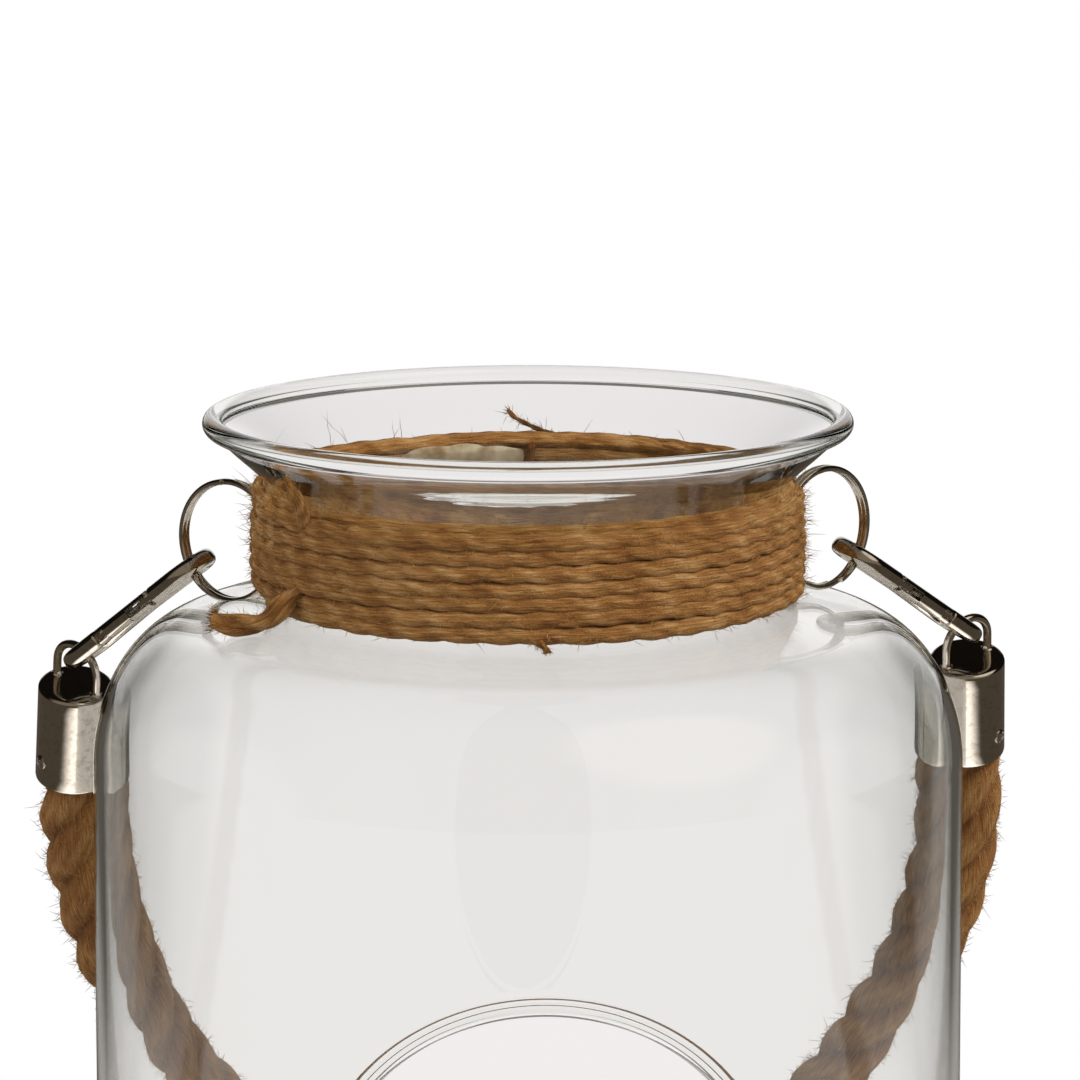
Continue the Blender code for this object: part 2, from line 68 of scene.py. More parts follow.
def smooth(points, count):
    """Evenly spaced points on a Catmull-Rom curve through the given points."""
    points = np.array(points, float)
    padded = np.vstack([2 * points[0] - points[1], points, 2 * points[-1] - points[-2]])
    t = np.linspace(0.0, 1.0, 24, endpoint=False)[None, :, None]
    a, b, c, d = (padded[k:len(padded) - 3 + k][:, None] for k in range(4))
    fine = 0.5 * (2 * b + (c - a) * t + (2 * a - 5 * b + 4 * c - d) * t ** 2
                  + (3 * b - a - 3 * c + d) * t ** 3)
    return even(np.vstack([fine.reshape(-1, points.shape[1]), points[-1]]), count)


def reach(path):
    """Distance along a path at each of its points."""
    return np.concatenate([[0.0], np.cumsum(np.linalg.norm(np.diff(path, axis=0), axis=1))])


def even(path, count):
    """A path's points again, at even distances."""
    far = reach(path)
    wanted = np.linspace(0.0, far[-1], count)
    return np.stack([np.interp(wanted, far, path[:, k]) for k in range(path.shape[1])], axis=1)


def bezier(start, pull_a, pull_b, end, count):
    """Points on a cubic curve, without its first point."""
    t = np.linspace(0.0, 1.0, count + 1)[1:, None]
    start, pull_a, pull_b, end = (np.array(p, float) for p in (start, pull_a, pull_b, end))
    return (1 - t) ** 3 * start + 3 * t * (1 - t) ** 2 * pull_a + 3 * t ** 2 * (1 - t) * pull_b + t ** 3 * end


def rails(path):
    """Directions along, to the side of and over a path, turned as little as possible on the way.

    A fixed guide gives a first side direction. The slip between it and the carried-over side is
    summed along the path and taken back out.
    """
    along = unit(np.gradient(path, axis=0))
    guide = np.eye(path.shape[1])[np.argmin(np.abs(along).max(0))]
    side = unit(guide - dot(along, guide) * along)
    over = np.cross(along, side)
    before, after = along[:-1], along[1:]
    carried = side[:-1] - dot(after, side[:-1]) / (1 + dot(before, after)) * (before + after)
    slip = np.arctan2(dot(carried, over[1:]), dot(carried, side[1:]))[:, 0]
    turn = np.concatenate([[0.0], np.cumsum(slip)])[:, None]
    return along, np.cos(turn) * side + np.sin(turn) * over, np.cos(turn) * over - np.sin(turn) * side


# ------------------------------------------------------------------ meshes

def quads(rows, columns, around):
    """Corners of every cell of a grid, and each corner's row and column for its UV."""
    i, j = np.meshgrid(np.arange(rows - 1), np.arange(columns if around else columns - 1), indexing="ij")
    i, j = i.ravel(), j.ravel()
    steps = ((0, 0), (0, 1), (1, 1), (1, 0))
    cell = np.stack([np.stack([i + a, j + b], -1) for a, b in steps], 1)
    return cell[..., 0] * columns + cell[..., 1] % columns, cell


def placed(name, data):
    """A new object at the origin that shows the given data."""
    made = bpy.data.objects.new(name, data)
    SCENE.collection.objects.link(made)
    return made


def skin(name, grids, finish, body, stands_for=(), crest=None, merge=0.0004, crease=50):
    """One mesh from grids of points, welded, facing outward, riding on a body.

    Each grid is (points of rows x columns x 3, whether columns close, length of a row step in mm).
    The UV map holds the distance along in metres and the share of the way round.
    """
    verts, faces, uvs, start = [], [], [], 0
    for points, around, step in grids:
        rows, columns = points.shape[:2]
        corner, cell = quads(rows, columns, around)
        verts.append(points.reshape(-1, 3))
        faces.append(corner + start)
        uvs.append(np.stack([cell[..., 0] * step * MM, cell[..., 1] / columns], -1))
        start += rows * columns
    verts, faces, uvs = np.vstack(verts) * MM, np.vstack(faces), np.vstack(uvs)
    mesh = bpy.data.meshes.new(name)
    mesh.from_pydata(verts, [], faces)
    mesh.uv_layers.new(name="thread").data.foreach_set("uv", uvs.ravel())
    if crest is not None:
        mesh.attributes.new("crest", "FLOAT", "POINT").data.foreach_set(
            "value", np.concatenate([c.ravel() for c in crest]).astype(np.float32))
    work = bmesh.new()
    work.from_mesh(mesh)
    bmesh.ops.remove_doubles(work, verts=work.verts, dist=merge * MM)
    bmesh.ops.dissolve_degenerate(work, edges=work.edges, dist=merge * MM * 0.5)
    if work.calc_volume(signed=True) < 0:
        bmesh.ops.reverse_faces(work, faces=work.faces)
    work.to_mesh(mesh)
    work.free()
    mesh.shade_smooth()
    mesh.set_sharp_from_angle(angle=math.radians(crease))
    mesh.materials.append(finish)
    piece = placed(name, mesh)
    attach(piece, body)
    if stands_for:
        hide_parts(*stands_for)
    return piece


def outline(width, height, power, sides):
    """A rounded section: a circle raised to a power, so 2 is an ellipse and 4 nearly a box."""
    angle = np.linspace(0.0, TAU, sides, endpoint=False)
    c, s = np.cos(angle), np.sin(angle)
    size = (np.abs(c) ** power + np.abs(s) ** power) ** (-1 / power)
    return np.stack([c * size * width / 2, s * size * height / 2], 1)


def swept(path, section, scale=None, ends=0.0, side=None):
    """A section carried along a path, with both ends closed and their edges rounded.

    Point = path + side * x + over * y, times scale. Each end gets four rings that shrink to its
    middle: `ends` is the size of the rounding. A fixed side direction may be given.
    """
    path = np.array(path, float)
    along, across, over = rails(path)
    if side is not None:
        across = unit(np.array(side, float) - dot(along, np.array(side, float)) * along)
        over = np.cross(along, across)
    scale = np.ones(len(path)) if scale is None else np.array(scale, float)
    body = (path[:, None] + scale[:, None, None]
            * (across[:, None] * section[None, :, :1] + over[:, None] * section[None, :, 1:]))
    bulk = np.abs(section).max()
    turn = np.linspace(0.0, math.pi / 2, 5)
    caps = []
    for end, way in ((0, -1.0), (-1, 1.0)):
        middle = path[end]
        shape = body[end] - middle
        inward = np.append(1 - ends / bulk * (1 - np.cos(turn)), 0.0)
        lift = np.append(np.sin(turn), 1.0) * ends * way
        rings = middle + along[end] * (lift - way * ends)[:, None, None] + shape[None] * inward[:, None, None]
        caps.append(rings)
    far = reach(path)
    keep = (far > ends * 1.05) & (far < far[-1] - ends * 1.05) if ends else slice(None)
    return np.concatenate([caps[0][::-1], body[keep], caps[1]])


def spun(profile, place=None, steps=96):
    """A profile of (radius, height) turned about Z, then put in a frame (origin, x, y, z)."""
    profile = np.array(profile, float)
    angle = np.linspace(0.0, TAU, steps, endpoint=False)
    ring = np.stack([np.cos(angle), np.sin(angle), np.zeros(steps)], 1)
    points = profile[:, None, :1] * ring[None] + profile[:, None, 1:] * np.array([0.0, 0.0, 1.0])
    return points if place is None else set_in(points, place)


def set_in(points, place):
    """Points of a piece's own frame, moved to where its frame (origin, x, y, z) is."""
    points = np.array(points, float)
    return place[0] + points @ place[1:]


# ------------------------------------------------------------------ materials

def linear(code, alpha=1.0):
    """An sRGB hex colour as linear numbers."""
    part = np.array([int(code[k:k + 2], 16) for k in (1, 3, 5)]) / 255
    part = np.where(part <= 0.04045, part / 12.92, ((part + 0.055) / 1.055) ** 2.4)
    return (*(float(c) for c in part), alpha)


def node(tree, kind, inputs=None, stops=(), **settings):
    """Adds one node. Each input is a value or another node's output. Stops are a ramp's (place, hex)."""
    made = tree.nodes.new("ShaderNode" + kind)
    for name, value in settings.items():
        setattr(made, name, value)
    for socket, value in (inputs or {}).items():
        if isinstance(value, bpy.types.NodeSocket):
            tree.links.new(value, made.inputs[socket])
        else:
            made.inputs[socket].default_value = value
    if stops:
        while len(made.color_ramp.elements) < len(stops):
            made.color_ramp.elements.new(0.5)
        for element, (place, code) in zip(made.color_ramp.elements, stops):
            element.position = place
            element.color = linear(code)
    return made


SOFT = {"interpolation_type": "SMOOTHSTEP"}
TINT = {"data_type": "RGBA"}


def span(value, low, high, start, end):
    """Inputs that carry a value's range, low to high, over to start to end."""
    return {"Value": value, "From Min": low, "From Max": high, "To Min": start, "To Max": end}


def finish(name, **constants):
    """A material with one Principled shader and its constant sockets. Gives (material, tree, shader)."""
    made = bpy.data.materials.new(name)
    made.use_nodes = True
    shader = made.node_tree.nodes["Principled BSDF"]
    for socket, value in constants.items():
        shader.inputs[socket.replace("_", " ")].default_value = value
    return made, made.node_tree, shader


def soda_lime_glass():
    """Blown soda-lime glass: clear, smooth, with a faint green that gathers where it is thick."""
    made, tree, shader = finish("soda_lime_glass", Base_Color=(1, 1, 1, 1), Roughness=0.0, IOR=1.5,
                                Transmission_Weight=1.0)
    place = node(tree, "TexCoord").outputs["Object"]
    # Slow unevenness from blowing, 35 mm across and a few hundredths of a millimetre deep
    sag = node(tree, "TexNoise", {"Vector": place, "Scale": 28.0, "Detail": 0.0}).outputs["Fac"]
    bump = node(tree, "Bump", {"Height": sag, "Strength": 0.05, "Distance": 0.0006})
    tree.links.new(bump.outputs["Normal"], shader.inputs["Normal"])
    depth = node(tree, "VolumeAbsorption", {"Color": linear("#c2dcae"), "Density": 26.0})
    out = tree.nodes["Material Output"]
    tree.links.new(depth.outputs["Volume"], out.inputs["Volume"])
    # Lamps shine through the glass instead of being blocked by it
    clear = node(tree, "BsdfTransparent", {"Color": (0.93, 0.94, 0.92, 1.0)})
    shaded = node(tree, "LightPath").outputs["Is Shadow Ray"]
    both = node(tree, "MixShader", {0: shaded, 1: shader.outputs[0], 2: clear.outputs[0]})
    tree.links.new(both.outputs[0], out.inputs["Surface"])
    return made


def jute(name, stops, around):
    """Spun jute: dull bast fibre. Fine fibres run along the yarn, tufts are paler, the grooves carry painted
    shade and the crests a little painted light.

    Around is the number of noise cells round the yarn.
    """
    made, tree, shader = finish(name, Roughness=0.92, Sheen_Weight=0.25, Sheen_Roughness=0.6,
                                Specular_IOR_Level=0.18)
    shader.inputs["Sheen Tint"].default_value = linear("#d9b98c")
    thread = node(tree, "UVMap", uv_map="thread").outputs["UV"]
    # Fibres 0.25 mm wide and about 6 mm long, drawn three times as coarse as real ones so they show
    streak = node(tree, "Mapping", {"Vector": thread, "Scale": (170.0, around, 1.0)}).outputs["Vector"]
    fibre = node(tree, "TexNoise", {"Vector": streak, "Scale": 1.0, "Detail": 4.0, "Roughness": 0.6,
                                    "Distortion": 0.8}).outputs["Fac"]
    place = node(tree, "TexCoord").outputs["Object"]
    # Patches 8 mm across where the yarn is paler or redder
    patch = node(tree, "TexNoise", {"Vector": place, "Scale": 130.0, "Detail": 2.0}).outputs["Fac"]
    # Painted shade and light: the crest attribute darkens the grooves and lightens the crests a little
    crest = node(tree, "Attribute", attribute_name="crest").outputs["Fac"]
    relief_shade_and_light = node(tree, "MapRange", span(crest, 0.0, 1.0, -0.30, 0.12)).outputs["Result"]
    tone = node(tree, "Math", {0: fibre, 1: 0.75, 2: relief_shade_and_light}, operation="MULTIPLY_ADD").outputs[0]
    tone = node(tree, "Math", {0: patch, 1: 0.45, 2: tone}, operation="MULTIPLY_ADD").outputs[0]
    shade = node(tree, "ValToRGB", {"Fac": tone}, stops)
    tree.links.new(shade.outputs["Color"], shader.inputs["Base Color"])
    fuzz = node(tree, "TexNoise", {"Vector": place, "Scale": 2600.0, "Detail": 2.0}).outputs["Fac"]
    height = node(tree, "Math", {0: fibre, 1: 1.6, 2: fuzz}, operation="MULTIPLY_ADD").outputs[0]
    bump = node(tree, "Bump", {"Height": height, "Strength": 0.9, "Distance": 0.0005})
    tree.links.new(bump.outputs["Normal"], shader.inputs["Normal"])
    return made


def fibre_hair(name, dark, pale):
    """Loose jute fibres: thin and slightly shiny, each tuft its own shade."""
    made, tree, shader = finish(name, Roughness=0.6, Specular_IOR_Level=0.3)
    place = node(tree, "TexCoord").outputs["Object"]
    patch = node(tree, "TexNoise", {"Vector": place, "Scale": 900.0, "Detail": 2.0}).outputs["Fac"]
    shade = node(tree, "ValToRGB", {"Fac": patch}, ((0.35, dark), (0.65, pale)))
    tree.links.new(shade.outputs["Color"], shader.inputs["Base Color"])
    return made


def plated(name, pale, dull, rough, dents):
    """Bright nickel plating: a warm grey mirror, with faint polishing marks and small dull spots."""
    made, tree, shader = finish(name, Metallic=1.0)
    place = node(tree, "TexCoord").outputs["Object"]
    # Dull spots 1.5 mm across, and polishing marks 0.2 mm wide
    spots = node(tree, "TexNoise", {"Vector": place, "Scale": 700.0, "Detail": 4.0,
                                    "Roughness": 0.7}).outputs["Fac"]
    lines = node(tree, "TexNoise", {"Vector": place, "Scale": 5000.0, "Detail": 1.0}).outputs["Fac"]
    shade = node(tree, "ValToRGB", {"Fac": spots}, ((0.5, pale), (0.78, dull)))
    tree.links.new(shade.outputs["Color"], shader.inputs["Base Color"])
    shine = node(tree, "MapRange", span(spots, 0.35, 0.8, rough, rough * 2.6)).outputs["Result"]
    tree.links.new(shine, shader.inputs["Roughness"])
    sag = node(tree, "TexNoise", {"Vector": place, "Scale": 220.0, "Detail": 2.0}).outputs["Fac"]
    height = node(tree, "Math", {0: lines, 1: 0.02, 2: sag}, operation="MULTIPLY_ADD").outputs[0]
    bump = node(tree, "Bump", {"Height": height, "Strength": dents, "Distance": 0.0005})
    tree.links.new(bump.outputs["Normal"], shader.inputs["Normal"])
    return made


def glue():
    """Set hot-melt glue: cream, waxy, and a little see-through."""
    made, tree, shader = finish("hot_melt_glue", Roughness=0.35, Subsurface_Weight=0.4,
                                Subsurface_Scale=0.002, Transmission_Weight=0.15)
    place = node(tree, "TexCoord").outputs["Object"]
    cloud = node(tree, "TexNoise", {"Vector": place, "Scale": 260.0, "Detail": 3.0}).outputs["Fac"]
    shade = node(tree, "ValToRGB", {"Fac": cloud}, ((0.35, "#a08763"), (0.65, "#d9ccb2")))
    tree.links.new(shade.outputs["Color"], shader.inputs["Base Color"])
    return made


GLASS = soda_lime_glass()
TWINE = jute("spun_jute_twine", ((0.28, "#4f3018"), (0.45, "#86562b"), (0.62, "#b07e46"),
                                 (0.85, "#dfb982")), 26.0)
ROPE = jute("laid_jute_rope", ((0.28, "#4d2c16"), (0.46, "#80512b"), (0.62, "#a57340"),
                               (0.85, "#d2a46a")), 150.0)
HAIR = fibre_hair("loose_jute_fibre", "#75502a", "#cfa768")
NICKEL = plated("bright_nickel_plate", "#bcb5a9", "#978e80", 0.06, 0.09)
WIRE = plated("nickel_plated_wire", "#cdc5b7", "#a1978a", 0.08, 0.06)
STEEL = plated("zinc_plated_steel", "#c4c1ba", "#918e87", 0.14, 0.08)
GLUE = glue()


# ------------------------------------------------------------------ camera, light and floor

# The camera looks down 10 degrees from 1.2 m, just right of the jar's axis
AIM = np.array([2.36, 0.0, 217.7])
CAMERA_DISTANCE = 1200.0
CAMERA_LIFT = math.radians(10.0)
SENSOR, LENS = 36.0, 203.2
BOUNCES = 24                       # so that light trapped in the glass gets out again

# In metres from here to the lamps
TABLE_RADIUS = 6.0
LAMPS = {                          # place, size, watts, colour
    "key": ((0.95, -0.75, 1.35), (0.8, 0.5), 15.0, "#fff3e4"),
    "fill": ((-1.15, -0.45, 0.95), (0.5, 0.8), 3.0, "#fff9f2"),
    "back": ((0.1, 1.1, 1.15), (1.4, 0.5), 4.0, "#ffffff")}

# Linear colours of the light that the table and the studio give
WHITE = (1.0, 1.0, 1.0, 1.0)
GLARE = (2.6, 2.5, 2.45, 1.0)
TABLE_THROUGH_GLASS, CORNER_SHADE = (0.90, 0.865, 0.875, 1.0), (0.09, 0.085, 0.08, 1.0)
PAPER_THROUGH_GLASS, PAPER_IN_METAL = (0.92, 0.885, 0.895, 1.0), (1.0, 0.98, 0.97, 1.0)
SIDE_SHADE, FAR_SIDE = (0.18, 0.17, 0.165, 1.0), (0.86, 0.83, 0.83, 1.0)
WINDOW = (1.1, 1.0, 0.85, 1.0)
TABLE_BOUNCE, STUDIO_BOUNCE = (0.52, 0.49, 0.47, 1.0), (0.5, 0.48, 0.46, 1.0)


def camera():
    """A long lens, level but for its tilt, and a plain view transform."""
    data = bpy.data.cameras.new("view")
    data.sensor_width = SENSOR
    data.lens = LENS
    data.clip_start, data.clip_end = 0.05, 60.0
    view = placed("view", data)
    away = np.array([0.0, -math.cos(CAMERA_LIFT), math.sin(CAMERA_LIFT)])
    view.location = (AIM + away * CAMERA_DISTANCE) * MM
    view.rotation_euler = (math.pi / 2 - CAMERA_LIFT, 0.0, 0.0)
    SCENE.camera = view
    SCENE.view_settings.view_transform = "Standard"
    SCENE.cycles.max_bounces = SCENE.cycles.transmission_bounces = BOUNCES


def by_ray(tree, kind, looked_at, passed, mirrored, scattered):
    """A surface that gives light: one colour when looked at, one each for rays that glass passes on,
    metal mirrors or cloth scatters."""
    path = node(tree, "LightPath").outputs
    glow = scattered
    for ray, color in (("Is Glossy Ray", mirrored), ("Is Transmission Ray", passed),
                       ("Is Camera Ray", looked_at)):
        glow = node(tree, "Mix", {"Factor": path[ray], 6: glow, 7: color}, **TINT).outputs[2]
    return node(tree, kind, {"Color": glow, "Strength": 1.0}).outputs[0]


def white_table():
    """A round white table that gives its own light."""
    ground, tree, shader = finish("white_acrylic_table")
    place = node(tree, "TexCoord").outputs["Object"]
    far = node(tree, "VectorMath", {0: place}, operation="LENGTH").outputs["Value"]
    # In metal, the lit middle, half a metre across, is brighter than white, and the rest is dim
    lit = node(tree, "MapRange", span(far, 0.12, 0.24, 1.0, 0.0), **SOFT).outputs["Result"]
    mirrored = node(tree, "Mix", {"Factor": lit, 6: linear("#5d554b"), 7: GLARE},
                    **TINT).outputs[2]
    # Through glass, the table is white but for its two far corners, which are in shade
    axes = node(tree, "SeparateXYZ", {"Vector": place}).outputs
    aside = node(tree, "Math", {0: axes["X"]}, operation="ABSOLUTE").outputs[0]
    edge = node(tree, "MapRange", span(aside, 0.16, 0.34, 0.0, 1.0), **SOFT).outputs["Result"]
    back = node(tree, "MapRange", span(axes["Y"], 0.1, 0.25, 0.0, 1.0), **SOFT).outputs["Result"]
    corner = node(tree, "Math", {0: edge, 1: back}, operation="MULTIPLY").outputs[0]
    passed = node(tree, "Mix", {"Factor": corner, 6: TABLE_THROUGH_GLASS, 7: CORNER_SHADE},
                  **TINT).outputs[2]
    shine = by_ray(tree, "Emission", WHITE, passed, mirrored, TABLE_BOUNCE)
    tree.links.new(shine, tree.nodes["Material Output"].inputs["Surface"])
    tree.nodes.remove(shader)
    disc = bpy.data.meshes.new("floor")
    turn = np.linspace(0.0, TAU, 64, endpoint=False)
    rim = np.stack([np.cos(turn), np.sin(turn), 0 * turn], 1) * TABLE_RADIUS
    disc.from_pydata(rim, [], [list(range(64))])
    disc.materials.append(ground)
    placed("floor", disc)


def studio():
    """White paper behind, darker at both sides and overhead, and a dim warm room in front."""
    world = bpy.data.worlds.new("studio")
    world.use_nodes = True
    SCENE.world = world
    tree = world.node_tree
    tree.nodes.clear()
    way = node(tree, "TexCoord").outputs["Generated"]
    axes = node(tree, "SeparateXYZ", {"Vector": way}).outputs
    sideways = node(tree, "Math", {0: axes["X"]}, operation="ABSOLUTE").outputs[0]
    low = node(tree, "MapRange", span(axes["Z"], 0.3, 0.6, 1.0, 0.0), **SOFT).outputs["Result"]

    def paper(width, color, beyond):
        """The paper's colour within its width and below its top, and what is beyond it elsewhere."""
        behind = node(tree, "MapRange", span(axes["Y"], 0.0, 0.3, 0.0, 1.0), **SOFT).outputs["Result"]
        within = node(tree, "MapRange", span(sideways, width, width + 0.25, 1.0, 0.0),
                      **SOFT).outputs["Result"]
        behind = node(tree, "Math", {0: behind, 1: within}, operation="MULTIPLY").outputs[0]
        share = node(tree, "Math", {0: behind, 1: low}, operation="MULTIPLY").outputs[0]
        return node(tree, "Mix", {"Factor": share, 6: beyond, 7: color}, **TINT).outputs[2]

    front = node(tree, "MapRange", span(axes["Y"], -0.6, -0.2, 1.0, 0.0), **SOFT).outputs["Result"]
    room = node(tree, "Mix", {"Factor": front, 6: linear("#15120f"), 7: linear("#978c7c")},
                **TINT).outputs[2]
    # A window of cream light high on the right, seen only in metal and in the glass's shine
    toward = node(tree, "VectorMath", {0: way, 1: (0.55, -0.45, 0.70)},
                  operation="DOT_PRODUCT").outputs["Value"]
    pane = node(tree, "MapRange", span(toward, 0.86, 0.94, 0.0, 1.0), **SOFT).outputs["Result"]
    room = node(tree, "Mix", {"Factor": pane, 6: room, 7: WINDOW}, **TINT).outputs[2]
    aside = node(tree, "MapRange", span(sideways, 0.84, 0.95, 0.0, 1.0), **SOFT).outputs["Result"]
    shade = node(tree, "Mix", {"Factor": aside, 6: SIDE_SHADE, 7: FAR_SIDE}, **TINT).outputs[2]
    sky = by_ray(tree, "Background", WHITE, paper(0.35, PAPER_THROUGH_GLASS, shade),
                 paper(0.2, PAPER_IN_METAL, room), STUDIO_BOUNCE)
    out = node(tree, "OutputWorld")
    tree.links.new(sky, out.inputs["Surface"])


def lamps():
    """Soft rectangular lamps aimed at the neck, which show neither in metal nor through glass."""
    for name, (spot, size, power, color) in LAMPS.items():
        light = bpy.data.lights.new(name, "AREA")
        light.shape = "RECTANGLE"
        light.size, light.size_y = size
        light.energy = power
        light.color = linear(color)[:3]
        lamp = placed(name, light)
        lamp.location = spot
        lamp.visible_glossy = lamp.visible_transmission = False
        aim = AIM * MM - np.array(spot)
        lamp.rotation_euler = (math.atan2(math.hypot(aim[0], aim[1]), -aim[2]), 0.0,
                               math.atan2(aim[0], -aim[1]) + math.pi)


camera()
white_table()
studio()
lamps()


# ------------------------------------------------------------------ where the fittings are

def axes_frame(origin, x, y):
    """A frame as four rows: origin, x, y and z directions."""
    x = unit(np.array(x, float))
    y = unit(np.array(y, float) - dot(np.array(y, float), x) * x)
    return np.array([origin, x, y, np.cross(x, y)])


SIDES = {
    "left": {
        "sign": -1.0, "ring_start": 1.45,
        "ring": axes_frame((-59.0, 7.0, 216.3), (-0.79864, 0.60182, 0.0), (0.60182, 0.79864, 0.0)),
        "hook": axes_frame((-78.027, 19.644, 200.097), (-0.68456, 0.41133, -0.60182),
                           (0.44014, 0.89134, 0.10856)),
        "cap": axes_frame((-91.596, 29.723, 182.861), (-0.75381, 0.59258, 0.28393),
                          (-0.65338, -0.72184, -0.22815))},
    "right": {
        "sign": 1.0, "ring_start": -1.2,
        "ring": axes_frame((58.4, 7.0, 219.0), (0.71934, 0.69466, 0.0), (-0.69466, 0.71934, 0.0)),
        "hook": axes_frame((76.149, 22.155, 203.499), (0.6646, 0.51924, -0.5373),
                           (-0.52337, 0.83671, 0.16123)),
        "cap": axes_frame((89.122, 34.309, 187.491), (0.79068, 0.56109, 0.24496),
                          (-0.61124, 0.74626, 0.2636))},
}
CAP_LENGTH = 22.0


# ------------------------------------------------------------------ the rope handle, a cord

ROPE_DIAMETER = 14.4
ROPE_ROUTE = [(-92.4, 46.0, 142.0), (-86.5, 56.5, 118.0), (-76.0, 68.5, 95.0), (-61.0, 80.0, 75.0),
              (-42.0, 89.0, 60.0), (-21.0, 95.5, 51.0), (1.0, 98.0, 48.5), (22.0, 96.5, 52.0),
              (42.0, 91.0, 62.0), (59.0, 83.5, 78.0), (73.0, 74.0, 98.0), (84.0, 63.5, 120.0),
              (90.0, 52.5, 144.0)]
ROPE_LAY = 38.0                    # mm for one turn of a strand
ROPE_TOP = 4.2                     # how far below a cap's top the rope ends
ROPE_SQUEEZE = 0.925               # its size inside a cap, as a share of its own


def in_cap(side, depth):
    """The point on a cap's axis at a depth below its top."""
    cap = SIDES[side]["cap"]
    return tuple(cap[0] - cap[3] * depth)


def laid_rope(path, radius, lay, strands, yarns, sides, seed, relief=1.0):
    """The skin of a laid rope, as a grid, and how high each point stands from 0 to 1.

    The outline round the path is that of equal circles side by side, turned once every lay. On each
    circle, ridges for its yarns run the other way, and slow noise makes the yarns uneven. Relief is
    the share of the grooves' depth that loose fibres leave open.
    """
    far = reach(path)[:, None]
    angle = np.linspace(0.0, TAU, sides, endpoint=False)[None]
    along, side, over = rails(path)
    small = 0.475 * radius
    big = radius - small
    local = (angle - far / lay * TAU) * strands / TAU
    lobe = (local - np.round(local)) * TAU / strands
    reach_out = big * np.cos(lobe) + np.sqrt(np.maximum(small ** 2 - (big * np.sin(lobe)) ** 2,
                                                        (0.13 * small) ** 2))
    around = np.arctan2(reach_out * np.sin(lobe), reach_out * np.cos(lobe) - big)
    number = np.round(local) % strands
    phase = around * yarns + far / lay * TAU * 1.15 * yarns + number * 1.9
    ridge = np.abs(np.cos(phase / 2 + 0.5 * np.sin(far * 0.31 + number * 2)))
    uneven = (wobble(far * 0.22 + number * 7, seed) * 0.025
              + wobble(far * 0.9 + around * 3, seed + 1) * 0.018)
    grow = 1 + uneven + 0.05 * (ridge - 0.75)
    size = (radius + relief * (reach_out - radius)) * grow
    size *= radius / np.percentile(size, 97)
    spread = size[..., None] * (np.cos(angle)[..., None] * side[:, None]
                                + np.sin(angle)[..., None] * over[:, None])
    crest = np.clip((reach_out - 0.5 * radius) / (0.5 * radius), 0, 1) * (0.55 + 0.45 * ridge)
    crest = 0.8 - relief * (0.8 - crest)
    return path[:, None] + spread, crest


def closed_ends(grid, crest=None):
    """Adds a last ring at each end that shrinks to its middle."""
    first, last = grid[:1].mean(1, keepdims=True), grid[-1:].mean(1, keepdims=True)
    grid = np.concatenate([np.repeat(first, grid.shape[1], 1), grid, np.repeat(last, grid.shape[1], 1)])
    return grid if crest is None else (grid, np.concatenate([crest[:1], crest, crest[-1:]]))


def hairs(name, roots, outward, lengths, width, curl, body, seed, stray=0.5):
    """Loose fibres: tapered three-sided tubes of two rings between two points.

    Real ones are finer. They are drawn 0.11 to 0.14 mm wide so that they show.

    Each follows root + length * (t * direction + t * t * curl * bend), for t from 0 to 1. The
    direction is outward, tilted at random.
    """
    rng = np.random.default_rng(seed)
    count = len(roots)
    heading = unit(outward + rng.normal(size=(count, 3)) * stray)
    bend = unit(rng.normal(size=(count, 3))) * curl
    t = np.array([0.0, 0.4, 0.75, 1.0])[None, :, None]
    line = (roots[:, None] + lengths[:, None, None] * (t * heading[:, None] + t * t * bend[:, None]))
    across = unit(np.cross(heading, unit(rng.normal(size=(count, 3)))))
    over = np.cross(heading, across)
    turn = np.arange(3) * TAU / 3
    ring = width / 2 * (np.cos(turn)[:, None] * across[:, None] + np.sin(turn)[:, None] * over[:, None])
    points = np.concatenate([line[:, :1], line[:, 1:2] + ring, line[:, 2:3] + ring * 0.7, line[:, 3:]],
                            axis=1)
    triangle = np.arange(3)
    after = (triangle + 1) % 3
    root_cap = np.stack([0 * triangle, 1 + after, 1 + triangle], 1)
    tip_cap = np.stack([4 + triangle, 4 + after, 0 * triangle + 7], 1)
    lower = np.stack([1 + triangle, 1 + after, 4 + after], 1)
    upper = np.stack([1 + triangle, 4 + after, 4 + triangle], 1)
    faces = np.vstack([root_cap, lower, upper, tip_cap])
    faces = (np.arange(count)[:, None, None] * 8 + faces[None]).reshape(-1, 3)
    mesh = bpy.data.meshes.new(name)
    mesh.from_pydata(points.reshape(-1, 3) * MM, [], faces)
    mesh.shade_smooth()
    mesh.materials.append(HAIR)
    piece = placed(name, mesh)
    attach(piece, body)
    return piece


def pick(grid, count, seed, rows=None):
    """Random points of a grid, with the directions away from their row's middle and along the rows."""
    rng = np.random.default_rng(seed)
    low, high = rows or (1, len(grid) - 2)
    i = rng.integers(low, high, count)
    j = rng.integers(0, grid.shape[1], count)
    spot = grid[i, j]
    return spot, unit(spot - grid[i].mean(1)), unit(grid[i + 1, j] - grid[i - 1, j]), rng


